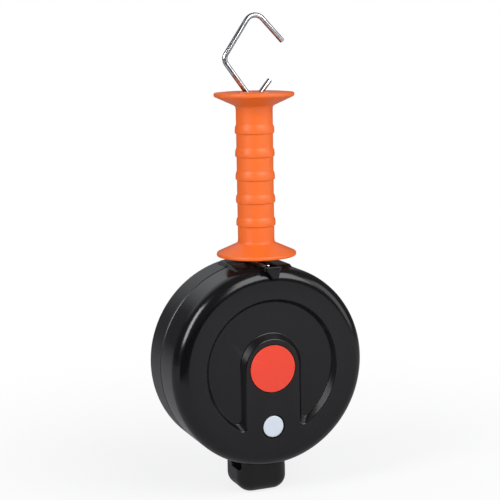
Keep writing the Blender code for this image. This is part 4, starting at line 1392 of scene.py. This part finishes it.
    def _recess_outline(self, grown: float) -> list[Flat]:
        """Return the horseshoe's outline, grown or drawn in along its sloping wall.

        Args:
            grown: How far it lies outside its line on the front face.

        Returns:
            The outline's x and z points.
        """
        outer = self.recess_radius + grown
        narrower, lower = self.island_slope
        half = self.island_half_width - narrower * grown
        rise = self.island_rise - lower * grown
        tip = self.tip_radius + max(grown, 0.0)
        tip_x = half + tip
        tip_z = -math.sqrt((outer - tip) ** 2 - tip_x**2)
        lean = math.degrees(math.atan2(tip_z, tip_x))
        arch = arc((0.0, rise), half, 0.0, 180.0, count=48)
        left = arc((-tip_x, tip_z), tip, 0.0, -180.0 - lean, count=10)
        rim = arc((0.0, 0.0), outer, 180.0 - lean, lean, count=120)
        right = arc((tip_x, tip_z), tip, lean, -180.0, count=10)
        return arch + left[1:] + rim[1:-1] + right[:-1]

    def _face(self) -> list[tuple[Carve, Form]]:
        """Shape what sinks the recess, the label's seat and the plug's seat.

        Returns:
            The tools.
        """
        run, depth = self.wall_run, self.recess_depth
        wall = [  # its two ends only give the roundings their headings
            (run, 0.0, 0.0),
            (0.0, 0.0, self.rim_round),
            (-run, depth, self.floor_round),
            (-2 * run, depth, 0.0),
        ]
        line = softened(wall, count=5)[1:-1]
        start, turn = self.rim_rise
        line[0] = (line[0][0], -turn)
        sections = [[(x, self.front_y - start, z) for x, z in self._recess_outline(line[0][0])]]
        for grown, drop in line:
            sections.append([(x, self.front_y + drop, z) for x, z in self._recess_outline(grown)])
        recess = lofted(sections)
        front = -self.front_y
        seat = FIT.label_radius + SEAT_GAP
        wide, deep = self.label_chamfer
        label = [
            (0.0, front + OVERLAP, 0.0),
            (seat + wide, front + OVERLAP, 0.0),
            (seat + wide, front + SKIM, 0.0),
            (seat, front - deep, 0.3),
            (seat, front - FIT.label_seat, 0.0),
            (0.0, front - FIT.label_seat, 0.0),
        ]
        head = FIT.plug_radius + SEAT_GAP
        stem = FIT.plug_stem + SEAT_GAP
        wider, wide = self.plug_groove
        plug = [
            (0.0, front + OVERLAP, 0.0),
            (head + wider, front + OVERLAP, 0.0),
            (head + wider, front + SKIM, 0.0),
            (head + wide, front - self.plug_groove_depth, 0.2),
            (head + wide, front - FIT.plug_head - SEAT_GAP, 0.0),
            (stem, front - FIT.plug_head - SEAT_GAP, 0.0),
            (stem, -self.recess_back_y - OVERLAP, 0.0),
            (0.0, -self.recess_back_y - OVERLAP, 0.0),
        ]
        return [
            (Carve.TAKE, recess),
            (Carve.TAKE, turned(softened(label, count=3), steps=96)),
            (Carve.TAKE, turned(softened(plug, count=3), steps=64, at=(0.0, 0.0, FIT.plug_z))),
        ]

    def _fasteners(self) -> list[tuple[Carve, Form]]:
        """Shape the screws' wells, the arbor's seats, the pins' bores and the parting groove.

        Returns:
            The tools.
        """
        tools = []
        rear = -self.rear_y
        for degrees in FIT.screw_angles:
            x, z = on_circle(FIT.screw_circle, degrees)
            profile = [
                (0.0, -FIT.screw_tip_y + OVERLAP, 0.0),
                (self.screw_hole, -FIT.screw_tip_y + OVERLAP, 0.0),
                (self.screw_hole, -self.screw_seat_y, 0.0),
                (self.screw_well, -self.screw_seat_y, 0.0),
                (self.screw_well, rear + self.well_edge - self.well_lift, self.well_round),
                (self.screw_well + self.well_edge, rear - self.well_lift, 0.0),
                (self.screw_well + self.well_edge, rear - OVERLAP, 0.0),
                (0.0, rear - OVERLAP, 0.0),
            ]
            tools.append((Carve.TAKE, turned(softened(profile, count=3), steps=40, at=(x, 0.0, z))))
        tools += [(Carve.TAKE, form) for form in (*self._arbor_seats(), *self._pin_bores(), self._groove())]
        return tools

    def _arbor_seats(self) -> list[Form]:
        """Shape the journal's bore, the tang's socket and the sink of the arbor's screw.

        Returns:
            Their forms.
        """
        bore = bar(self.journal_bore, -self.journal_end, OVERLAP - self.socket_depth, (0.0, 0.0))
        half = self.tang_half
        socket = block((-half, self.socket_depth - OVERLAP, -half), (half, self.tang_end, half))
        return [bore, socket, turned(self.arbor_sink, steps=40, at=(0.0, self.rear_y, 0.0))]

    def _pin_bores(self) -> list[Form]:
        """Shape the bores of the two guide pins.

        Returns:
            Their forms.
        """
        reach = self.guide_pin_reach
        spots = [(x, self.guide_pin_z) for x in self.guide_pins_x]
        return [bar(self.guide_pin_bore, -reach, reach, spot, steps=16) for spot in spots]

    def _groove(self) -> Form:
        """Shape the groove along the parting line, its rear side sloping.

        Returns:
            The groove.
        """
        profile = [(self.radius + out, ahead) for out, ahead in self.groove]
        return turned(profile, self.facets, at=(0.0, self.parting_y, 0.0))

    def _lip(self, wider: float) -> Form:
        """Shape the ring of wall that laps inside the front shell.

        Args:
            wider: Room added round it.

        Returns:
            The ring.
        """
        inner = self.radius - self.wall - self.lip_walls[0] - wider
        outer = self.radius - self.wall + self.lip_walls[1] + wider
        front = self.lip_ends[0] + wider - self.parting_y
        rear = -self.lip_ends[1] - self.parting_y
        ring = turned([(outer, front), (outer, rear), (inner, rear), (inner, front)], self.facets)
        side = self.outlet_block_half + self.lip_gap - wider
        gap = block((-side, -self.radius, self.radius / 2), (side, self.radius, 2 * self.radius))
        return carved(ring, [(Carve.TAKE, gap)])

    def _beyond(self, side: float) -> Form:
        """Shape the space to one side of the parting plane.

        Args:
            side: 1 for the space behind it, -1 for the space before it.

        Returns:
            The space.
        """
        far = 2.0 * AXIS_HEIGHT
        near = self.parting_y - side * SEAT_GAP / 2
        low, high = (near, far) if side > 0.0 else (-far, near)
        return block((-far, low, -far), (far, high, far))

    def _before(self) -> Form:
        """Return the space before the parting plane, less the rear shell's lip."""
        return carved(self._beyond(-1.0), [(Carve.TAKE, self._lip(0.0))])


@dataclass
class FrontTrim:
    """The bare round label and the pale cover plug on the front face."""

    shop: Workshop
    label_thickness: float = 0.6
    label_edge: float = 0.22
    plug_crown: Flat = (0.05, 2.0)  # drop of the crown's edge, and its rounding
    plug_edge: Corner = (0.9, 0.45, 0.3)  # run and drop of its chamfer, and its rounding
    plug_end: float = 4.0
    plug_end_edge: float = 0.3

    def build(self) -> None:
        """Make the label and the plug."""
        foot = SEAT_GAP - FIT.label_seat
        top = self.label_thickness - FIT.label_seat + SEAT_GAP
        label = [
            (0.0, top, 0.0),
            (FIT.label_radius, top, self.label_edge),
            (FIT.label_radius, foot, 0.0),
            (0.0, foot, 0.0),
        ]
        form = turned(softened(label), steps=128, at=(0.0, FIT.face_y, 0.0))
        self.shop.piece("red_label_face", form, "red_label", Body.HOUSING, ("label_disc",))
        fall, crown = self.plug_crown
        run, drop, edge = self.plug_edge
        plug = [
            (0.0, 0.0, 0.0),
            (FIT.plug_radius - run, -fall, crown),
            (FIT.plug_radius, -drop, edge),
            (FIT.plug_radius, -FIT.plug_head, 0.0),
            (FIT.plug_stem, -FIT.plug_head, 0.0),
            (FIT.plug_stem - self.plug_end_edge, -self.plug_end, self.plug_end_edge),
            (0.0, -self.plug_end, 0.0),
        ]
        form = turned(softened(plug), steps=96, at=(0.0, FIT.face_y, FIT.plug_z))
        self.shop.piece("pale_plug_cap", form, "grey_plug", Body.HOUSING, ("cover_plug",))


@dataclass
class RearScrews:
    """The pan screws that close the drum and the countersunk screw in the arbor."""

    shop: Workshop
    seat_y: float = 20.3
    shank: float = 1.9
    head: float = 3.6
    head_height: float = 2.5
    head_flat: float = 0.62  # share of the head that is flat on top
    head_side: float = 0.9
    head_rounds: tuple[float, float, float] = (0.3, 0.8, 1.2)
    tip_flat: float = 0.4  # share of the shank that is flat at the tip
    point: float = 2.5
    first_thread: float = 3.0
    neck: float = 4.0
    thread_depth: float = 0.28
    thread_pitch: float = 1.25
    thread_end: float = 0.5
    sunk_tip_y: float = 14.5
    sunk_neck_y: float = 32.0
    sunk_top_y: float = 33.8
    sunk_head: float = 4.0
    sunk_cross: Flat = (0.2, 3.0)  # foot and open end of its recess over the neck
    cross_floor: float = 1.0
    cross_half: float = 1.9
    cross_blade: float = 0.45
    cross_taper: float = 0.55

    def build(self) -> None:
        """Make the four housing screws and the arbor's screw."""
        for n, degrees in enumerate(FIT.screw_angles, 1):
            x, z = on_circle(FIT.screw_circle, degrees)
            profile = self._shaft(-FIT.screw_tip_y, -self.seat_y)
            top = -self.seat_y - self.head_height
            low, side, crown = self.head_rounds
            profile += softened(
                [
                    (self.shank, -self.seat_y, 0.0),
                    (self.head, -self.seat_y, low),
                    (self.head, top + self.head_side, side),
                    (self.head * self.head_flat, top, crown),
                    (0.0, top, 0.0),
                ]
            )[1:]
            form = turned(profile, steps=32, at=(x, 0.0, z))
            cross = self._cross((x, z), self.seat_y + self.cross_floor, OVERLAP - top)
            self._finish(f"pan_screw_{n}", carved(form, cross), f"housing_screw_{n}")
        top = -self.sunk_top_y
        sunk = self._shaft(-self.sunk_tip_y, -self.sunk_neck_y)
        sunk += [(self.shank, -self.sunk_neck_y), (self.sunk_head, top), (0.0, top)]
        foot, rise = self.sunk_cross
        cross = self._cross((0.0, 0.0), self.sunk_neck_y + foot, self.sunk_neck_y + rise)
        self._finish("countersunk_arbor_screw", carved(turned(sunk, steps=32), cross), "arbor_screw")

    def _finish(self, name: str, form: Form, node: str) -> None:
        """Make one screw's piece in the place of its node."""
        self.shop.piece(name, form, "turned_steel", Body.HOUSING, (node,), sharp=30.0)

    def _shaft(self, tip: float, seat: float) -> list[Flat]:
        """Work out the profile of a shank with thread rings.

        Args:
            tip: Height of its tip.
            seat: Height of its seat.

        Returns:
            The profile, from tip to seat.
        """
        root = self.shank - self.thread_depth
        profile: list[Flat] = [(0.0, tip), (self.shank * self.tip_flat, tip), (root, tip - self.point)]
        height = tip - self.first_thread
        while height > seat + self.neck:
            profile.append((self.shank, height))
            profile.append((root, height - self.thread_pitch / 2))
            height -= self.thread_pitch
        profile.append((self.shank, height - self.thread_end))
        profile.append((self.shank, seat))
        return profile

    def _cross(self, at: Flat, low: float, high: float) -> list[tuple[Carve, Form]]:
        """Return the tools of two crossed blades that sink a driver's recess.

        Args:
            at: The x and z of its middle.
            low: Depth of its foot.
            high: Depth of its open end.

        Returns:
            The tools.
        """
        x, z = at
        sides = (self.cross_half, self.cross_blade)
        blades = []
        for half_x, half_z in (sides, sides[::-1]):
            form = block((x - half_x, low, z - half_z), (x + half_x, high, z + half_z))
            foot = [vert for vert in form.verts if vert.co.y < low + NEAR]
            bmesh.ops.scale(
                form,
                vec=(self.cross_taper, 1.0, self.cross_taper),
                space=Matrix.Translation((-x, -low, -z)),
                verts=foot,
            )
            blades.append((Carve.TAKE, form))
        return blades


@dataclass
class PullHandle:
    """The insulated grip with a crowned and a dished flange, its wire rod and its washer."""

    shop: Workshop
    rim: float = 31.5
    radius: float = 14.4
    top_z: float = 213.3
    foot_z: float = 85.4
    flange_run: float = 10.4
    root_round: float = 3.0
    root_swell: float = 0.35
    rim_side: Corner = (0.2, 2.9, 1.6)  # in from the rim and back from it, and rounding
    rim_round: float = 1.3
    bore: float = 2.2
    pocket: float = 8.0
    pocket_depth: float = 5.0
    pocket_round: float = 0.4
    dish_depth: float = 9.0
    crest: Flat = (17.0, 0.9)
    crest_rounds: Flat = (20.0, 6.0)
    slope_share: float = 0.7  # share of the crest's rise halfway to the rim
    mouth: float = 13.5
    mouth_edge: Corner = (0.2, 0.1, 1.5)  # out and down from the crest's edge, and rounding
    low_lip: Corner = (2.4, 0.3, 0.6)  # in from the rim and up from it, and rounding
    low_dish: Flat = (13.0, 2.5)
    rings: tuple[float, ...] = (184.9, 166.8, 148.8, 130.7, 112.6)
    ring: tuple[Corner, ...] = (  # out from the grip, up from the ring's middle, and rounding
        (0.0, 4.6, 0.0),
        (0.0, 3.6, 2.5),
        (0.8, 2.0, 2.5),
        (1.1, -0.6, 4.0),
        (1.0, -2.9, 0.45),
        (0.0, -3.5, 0.35),
        (0.0, -4.6, 0.0),
    )
    rod: float = 1.6
    top_eye: Flat = (207.8, 4.5)
    top_turn: Flat = (-62.0, 220.0)
    top_neck: tuple[Place, ...] = ((0.0, 0.0, -0.8), (0.0, 0.15, 0.2), (0.0, 0.5, 1.0))
    low_eye: Flat = (90.8, 3.5)
    low_turn: Flat = (400.0, 118.0)
    low_neck: tuple[Place, ...] = ((-0.5, 0.0, -1.0), (-0.15, 0.0, -0.2), (0.0, 0.0, 0.8))
    neck_run: float = 2.0
    washer_thickness: float = 1.2
    washer_room: float = 0.6
    washer_bore: float = 0.4

    def build(self) -> None:
        """Make the grip, the rod and the washer."""
        profile = list(reversed(self._flange(self.top_z, 1.0)))
        for middle in self.rings:
            profile += self._ring(middle)
        profile += self._flange(self.foot_z, -1.0)
        grip = turned(profile, steps=128, facing=Facing.UP)
        self.shop.piece("orange_grip_moulding", grip, "orange_plastic", Body.HANDLE, ("grip",), sharp=50.0)
        rod = wire(self._rod_path(), self.rod, sides=20)
        self.shop.piece("handle_rod_wire", rod, "zinc_wire", Body.HANDLE, ("handle_rod",))
        seat = self.top_z - self.dish_depth - self.pocket_depth + SEAT_GAP
        top = seat + self.washer_thickness
        outer = self.pocket - self.washer_room
        inner = self.rod + self.washer_bore
        washer = [
            (self.rod + 1.5, top, 0.0),
            (outer, top, 0.3),
            (outer, seat, 0.2),
            (inner, seat, 0.1),
            (inner, top, 0.2),
            (self.rod + 1.5, top, 0.0),
        ]
        form = turned(softened(washer, count=4)[:-1], steps=64, facing=Facing.UP)
        self.shop.piece("grip_washer_plate", form, "zinc_wire", Body.HANDLE, ("grip_washer",))

    def _flange(self, rim_z: float, way: float) -> list[Flat]:
        """Return one flange from its root on the grip over its round rim to the bore.

        Args:
            rim_z: Height of the flange's rim.
            way: 1 for the top flange and -1 for the bottom one.

        Returns:
            The flange's side of the profile.
        """
        root = rim_z - way * self.flange_run
        floor = rim_z - way * self.dish_depth
        pocket = floor - way * self.pocket_depth
        inset, back, side_round = self.rim_side
        corners = [
            (self.radius, root - way * self.root_round, 0.0),
            (self.radius + self.root_swell, root, self.root_round),
            (self.rim - inset, rim_z - way * back, side_round),
            (self.rim, rim_z, self.rim_round),
            *self._flange_face(rim_z, floor, way),
            (self.pocket, floor, self.pocket_round),
            (self.pocket, pocket, self.pocket_round),
            (self.bore, pocket, 0.0),
        ]
        return softened(corners, count=7)

    def _flange_face(self, rim_z: float, floor: float, way: float) -> list[Place]:
        """Work out a flange's outer face: a crown with a mouth on top, a plain dish below.

        Args:
            rim_z: Height of the flange's rim.
            floor: Height of the dish's floor.
            way: 1 for the top flange and -1 for the bottom one.

        Returns:
            The face's corners, each with its rounding, from the rim inwards.
        """
        if way < 0.0:
            inset, lift, lip_round = self.low_lip
            dish, dish_round = self.low_dish
            return [(self.rim - inset, rim_z + lift, lip_round), (dish, floor, dish_round)]
        radius, rise = self.crest
        slope_round, crest_round = self.crest_rounds
        out, drop, edge_round = self.mouth_edge
        return [
            ((self.rim + radius) / 2, rim_z + rise * self.slope_share, slope_round),
            (radius, rim_z + rise, crest_round),
            (self.mouth + out, rim_z + rise - drop, edge_round),
            (self.mouth, floor, self.pocket_round),
        ]

    def _ring(self, middle: float) -> list[Flat]:
        """Work out the profile of one finger ring, full above and crisp below.

        Args:
            middle: Height of the ring's middle.

        Returns:
            The ring's profile.
        """
        return softened([(self.radius + out, middle + up, soft) for out, up, soft in self.ring], count=4)

    def _rod_path(self) -> list[Place]:
        """Work out the rod's middle line, with an eye across each end.

        Returns:
            The line's points, from the low eye up.
        """
        low_z, low_radius = self.low_eye
        top_z, top_radius = self.top_eye
        low = arc((0.0, low_z), low_radius, *self.low_turn, count=40)
        top = arc((0.0, top_z), top_radius, *self.top_turn, count=44)
        neck_low = low_z + low_radius + self.neck_run
        neck_top = top_z - top_radius - self.neck_run
        path: list[Place] = [(x, 0.0, z) for x, z in low]
        path += [(x, y, neck_low + up) for x, y, up in self.low_neck]
        path += [(x, y, neck_top + up) for x, y, up in self.top_neck]
        return path + [(0.0, y, z) for y, z in top]


@dataclass
class TapeEnd:
    """The wire ring at the tape's end, the hem sewn round it and the tape in the outlet."""

    shop: Workshop
    ring_wire: float = 1.3
    half_length: float = 29.5
    foot_z: float = 78.3
    apex_z: float = 91.2
    tape_half: float = 20.0
    thickness: float = 0.5
    lead_foot: float = 71.3
    lead_top: float = 75.0
    blend_inset: float = 0.01
    stations: int = 20
    hem_clearance: float = 0.08
    hem_ends: Flat = (-66.0, 246.0)
    hem_slit: float = 0.04

    def build(self) -> None:
        """Make the ring, the hem and the lead."""
        corners = [
            (0.0, self.foot_z, 0.0),
            (self.half_length, self.foot_z, 1.6),
            (0.0, self.apex_z, 3.2),
            (-self.half_length, self.foot_z, 1.6),
            (0.0, self.foot_z, 0.0),
        ]
        path = [(0.0, y, z) for y, z in softened(corners, count=12)[:-1]]
        ring = wire(path, self.ring_wire, sides=20, closed=True)
        self.shop.piece("tape_ring_wire", ring, "zinc_wire", Body.HANDLE, ("tape_ring",))
        self.shop.piece("tape_hem_fold", self._hem(), "white_tape", Body.HANDLE, ("tape_hem",))
        lead = self.shop.piece("tape_in_outlet", self._lead(), "white_tape", None, ("tape_lead",))
        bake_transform(lead)

    def _hem(self) -> Form:
        """Shape the tape folded round the ring's foot, with its tail down to the lead.

        Returns:
            The hem.
        """
        inner = self.ring_wire + self.hem_clearance
        outer = inner + self.thickness
        start, end = self.hem_ends
        outside = arc((0.0, self.foot_z), outer, start, end, count=28)
        inside = arc((0.0, self.foot_z), inner, end, start, count=28)
        tail = self.lead_top + SEAT_GAP
        outline = [(self.thickness / 2, tail), *outside, (-self.thickness / 2, tail)]
        slit = self.hem_slit
        outline += [(-slit, tail + slit / 2), *inside, (slit, tail + slit / 2)]
        return lofted([[(x, y, z) for x, z in outline] for y in self._across()])

    def _lead(self) -> Form:
        """Shape the flat tape that stands in the throat.

        Returns:
            The lead.
        """
        half = self.thickness / 2
        foot, top = self.lead_foot, self.lead_top
        outline = [(half, foot), (half, top), (-half, top), (-half, foot)]
        return lofted([[(x, y, z) for x, z in outline] for y in self._across()])

    def _across(self) -> list[float]:
        """Return the stations across the tape's width."""
        return [self.tape_half * (2 * step / self.stations - 1.0) for step in range(self.stations + 1)]


@dataclass
class GateHook:
    """The open diamond hook of bent wire."""

    shop: Workshop
    radius: float = 2.0
    corners: tuple[Corner, ...] = (
        (13.6, 222.7, 0.0),
        (-0.4, 205.8, 4.2),
        (-25.2, 239.3, 7.0),
        (0.7, 277.35, 8.5),
        (24.6, 252.2, 0.0),
    )

    def build(self) -> None:
        """Make the hook."""
        path = [(x, 0.0, z) for x, z in softened(self.corners, count=18)]
        form = wire(path, self.radius, sides=28)
        self.shop.piece("gate_hook_wire", form, "zinc_wire", Body.HOOK, ("hook",))


class SpringWorks:
    """The spool, its clock spring and its bearings, sealed in the drum."""

    nodes = (
        "spool_core",
        "spool_flange",
        "spool_screw_1",
        "spool_screw_2",
        "spool_screw_3",
        "front_bush",
        "rear_bush",
        "clock_spring",
        "tape_roll",
        "tape_anchor_pin",
    )

    def __init__(self, shop: Workshop) -> None:
        """Keep the workshop that dresses the nodes."""
        self.shop = shop

    def build(self) -> None:
        """Dress every sealed node."""
        self.shop.dress(*self.nodes)


@dataclass(frozen=True)
class SoftBox:
    """A soft box that faces the middle of the reel, its bearing in degrees to the left of the front."""

    name: str
    bearing: float
    height: float
    sides: Flat
    power: float
    aim: Place = (0.0, 0.0, 0.12)
    distance: float = 1.35

    def hang(self) -> None:
        """Make the lamp and turn it to the reel."""
        turn = math.radians(self.bearing)
        tilt = math.radians(self.height)
        away = Vector((-math.sin(turn) * math.cos(tilt), -math.cos(turn) * math.cos(tilt), math.sin(tilt)))
        light = bpy.data.lights.new(self.name, "AREA")
        light.shape = "RECTANGLE"
        light.size, light.size_y = self.sides
        light.energy = self.power
        lamp = bpy.data.objects.new(self.name, light)
        place = Matrix.Translation(Vector(self.aim) + self.distance * away)
        lamp.matrix_world = place @ away.to_track_quat("Z", "Y").to_matrix().to_4x4()
        bpy.context.scene.collection.objects.link(lamp)


@dataclass
class Studio:
    """The pale floor, the soft lamps and the camera at the photograph's angle."""

    azimuth: float = -22.07
    elevation: float = 8.978
    roll: float = -0.96
    distance: float = 1073.0
    aside: float = -5.055
    above: float = 88.508
    focal_pixels: float = 1341.0
    picture_pixels: float = 500.0
    sensor: float = 36.0
    clip: Flat = (0.05, 50.0)
    air: float = 0.23
    air_colour: Colour = (0.92, 0.94, 1.0)
    gloss_air: float = 0.05
    gloss_backdrop: float = 0.85
    backdrop_edge: Flat = (0.25, 0.37)
    gloss_share: float = 0.06
    floor_radius: float = 4.0
    floor_drop: float = 0.0004
    floor_colour: Colour = (0.80, 0.80, 0.81)
    floor_in_gloss: Colour = (0.48, 0.48, 0.49)
    floor_roughness: float = 0.9
    floor_specular: float = 0.1
    floor_fade: Flat = (0.05, 0.5)
    floor_white: Flat = (0.80, 1.0)
    screen_colour: Colour = (0.01, 0.01, 0.01)
    screen_reach: float = 0.45
    screen_height: float = 0.21
    screen_start: float = -5.0
    screen_span: float = 67.0
    screen_steps: int = 16

    def build(self) -> None:
        """Set up everything round the reel."""
        bpy.context.scene.view_settings.view_transform = "Standard"
        self._camera()
        self._world()
        self._floor()
        self._screen()
        self._lamps()

    def _camera(self) -> None:
        """Place the camera from its bearing, distance and offsets."""
        turn, tilt, roll = (math.radians(value) for value in (self.azimuth, self.elevation, self.roll))
        back = Vector((math.sin(turn) * math.cos(tilt), -math.cos(turn) * math.cos(tilt), math.sin(tilt)))
        right = back.cross(Vector((0.0, 0.0, -1.0))).normalized()
        up = back.cross(right)
        place = TO_FRAME @ (back * self.distance + right * self.aside + up * self.above)
        rolled_right = right * math.cos(roll) + up * math.sin(roll)
        rolled_up = up * math.cos(roll) - right * math.sin(roll)
        turned_to = Matrix((rolled_right, rolled_up, back)).transposed().to_4x4()
        lens = bpy.data.cameras.new("photo_camera")
        lens.sensor_width = self.sensor
        lens.lens = self.focal_pixels * self.sensor / self.picture_pixels
        lens.clip_start, lens.clip_end = self.clip
        camera = bpy.data.objects.new("photo_camera", lens)
        camera.matrix_world = Matrix.Translation(place) @ turned_to
        bpy.context.scene.collection.objects.link(camera)
        bpy.context.scene.camera = camera

    def _world(self) -> None:
        """Light evenly from all round, with a white backdrop for the camera and for gloss."""
        world = bpy.data.worlds.new("studio_air")
        bpy.context.scene.world = world
        world.use_nodes = True
        tree = world.node_tree
        ground = tree.nodes["Background"]
        feed(tree, ground.inputs["Color"], self.air_colour)
        rays = tree.nodes.new("ShaderNodeLightPath")
        towards = parts_of(tree, tree.nodes.new("ShaderNodeTexCoord").outputs["Generated"])
        upper_back = math_node(tree, "MULTIPLY", towards["Y"], towards["Z"])
        behind = remap(tree, upper_back, self.backdrop_edge, (self.gloss_air, self.gloss_backdrop))
        change = math_node(tree, "SUBTRACT", behind, self.air)
        dimmer = math_node(tree, "MULTIPLY_ADD", rays.outputs["Is Glossy Ray"], change, self.air)
        tree.links.new(dimmer, ground.inputs["Strength"])
        seen = tree.nodes.new("ShaderNodeBackground")
        feed(tree, seen.inputs["Color"], (1.0, 1.0, 1.0))
        mixed = tree.nodes.new("ShaderNodeMixShader")
        tree.links.new(self._seen_directly(tree), mixed.inputs["Fac"])
        tree.links.new(ground.outputs["Background"], mixed.inputs[1])
        tree.links.new(seen.outputs["Background"], mixed.inputs[2])
        tree.links.new(mixed.outputs["Shader"], tree.nodes["World Output"].inputs["Surface"])

    def _seen_directly(self, tree: bpy.types.NodeTree) -> Socket:
        """Mask the rays from the camera or through glass, and part of those off gloss.

        Args:
            tree: Tree that the nodes go in.

        Returns:
            The mask's socket.
        """
        rays = tree.nodes.new("ShaderNodeLightPath").outputs
        gloss = math_node(tree, "MULTIPLY", rays["Is Glossy Ray"], self.gloss_share)
        direct = math_node(tree, "MAXIMUM", rays["Is Camera Ray"], rays["Is Transmission Ray"])
        return math_node(tree, "MAXIMUM", direct, gloss)

    @staticmethod
    def _prop(name: str, form: Form) -> tuple[bpy.types.Object, bpy.types.NodeTree]:
        """Put up a prop of the studio, which is no part of the reel.

        Args:
            name: Name of the prop and of its material.
            form: Its form in metres, which is used up.

        Returns:
            The prop and its material's node tree.
        """
        prop = as_object(name, form)
        material = bpy.data.materials.new(name)
        material.use_nodes = True
        prop.data.materials.append(material)
        return prop, material.node_tree

    def _floor(self) -> None:
        """Make the floor, which keeps the reel's shadow near it and is white far off."""
        form = bmesh.new()
        bmesh.ops.create_circle(form, cap_ends=True, segments=96, radius=self.floor_radius)
        floor, tree = self._prop("studio_floor", form)
        floor.location.z = -self.floor_drop
        shader = tree.nodes["Principled BSDF"]
        rays = tree.nodes.new("ShaderNodeLightPath")
        shade = mix_node(tree, rays.outputs["Is Glossy Ray"], self.floor_colour, self.floor_in_gloss)
        tree.links.new(shade, shader.inputs["Base Color"])
        shader.inputs["Roughness"].default_value = self.floor_roughness
        shader.inputs["Specular IOR Level"].default_value = self.floor_specular
        white = tree.nodes.new("ShaderNodeEmission")
        far = tree.nodes.new("ShaderNodeVectorMath")
        far.operation = "LENGTH"
        tree.links.new(tree.nodes.new("ShaderNodeTexCoord").outputs["Object"], far.inputs[0])
        fade = remap(tree, far.outputs["Value"], self.floor_fade, self.floor_white, "SMOOTHSTEP")
        mixed = tree.nodes.new("ShaderNodeMixShader")
        share = math_node(tree, "MULTIPLY", fade, self._seen_directly(tree))
        tree.links.new(share, mixed.inputs["Fac"])
        tree.links.new(shader.outputs["BSDF"], mixed.inputs[1])
        tree.links.new(white.outputs["Emission"], mixed.inputs[2])
        tree.links.new(mixed.outputs["Shader"], tree.nodes["Material Output"].inputs["Surface"])

    def _screen(self) -> None:
        """Stand a dark screen round the camera's side, which only gloss shows."""
        form = bmesh.new()
        turn = math.radians(self.screen_start)
        x = -self.screen_reach * math.sin(turn)
        y = -self.screen_reach * math.cos(turn)
        ends = [form.verts.new((x, y, height)) for height in (0.0, self.screen_height)]
        bmesh.ops.spin(
            form,
            geom=[*ends, form.edges.new(ends)],
            cent=(0.0, 0.0, 0.0),
            axis=(0.0, 0.0, 1.0),
            angle=-math.radians(self.screen_span),
            steps=self.screen_steps,
        )
        screen, tree = self._prop("dark_screen", form)
        shader = tree.nodes["Principled BSDF"]
        feed(tree, shader.inputs["Base Color"], self.screen_colour)
        shader.inputs["Roughness"].default_value = 1.0
        screen.visible_camera = False
        screen.visible_diffuse = False
        screen.visible_transmission = False
        screen.visible_shadow = False

    def _lamps(self) -> None:
        """Hang the soft boxes: a strip to the left, a large one in front and a weak one to the right."""
        for lamp in (
            SoftBox("left_strip", bearing=67.0, height=30.0, sides=(0.42, 0.8), power=13.0),
            SoftBox("front_softbox", bearing=-24.0, height=35.0, sides=(1.0, 0.85), power=14.8),
            SoftBox("right_softbox", bearing=-62.0, height=16.0, sides=(0.6, 0.8), power=3.0),
        ):
            lamp.hang()


def main() -> None:
    """Build the reel, sub-assembly by sub-assembly, and the studio round it."""
    logging.basicConfig(level=logging.INFO, format="%(name)s: %(message)s")
    shop = Workshop(Finishes(Effects()))
    for assembly in (Housing, FrontTrim, RearScrews, SpringWorks, PullHandle, TapeEnd, GateHook):
        LOG.info("building %s", assembly.__name__)
        assembly(shop).build()
    Studio().build()


if __name__ == "__main__":
    main()
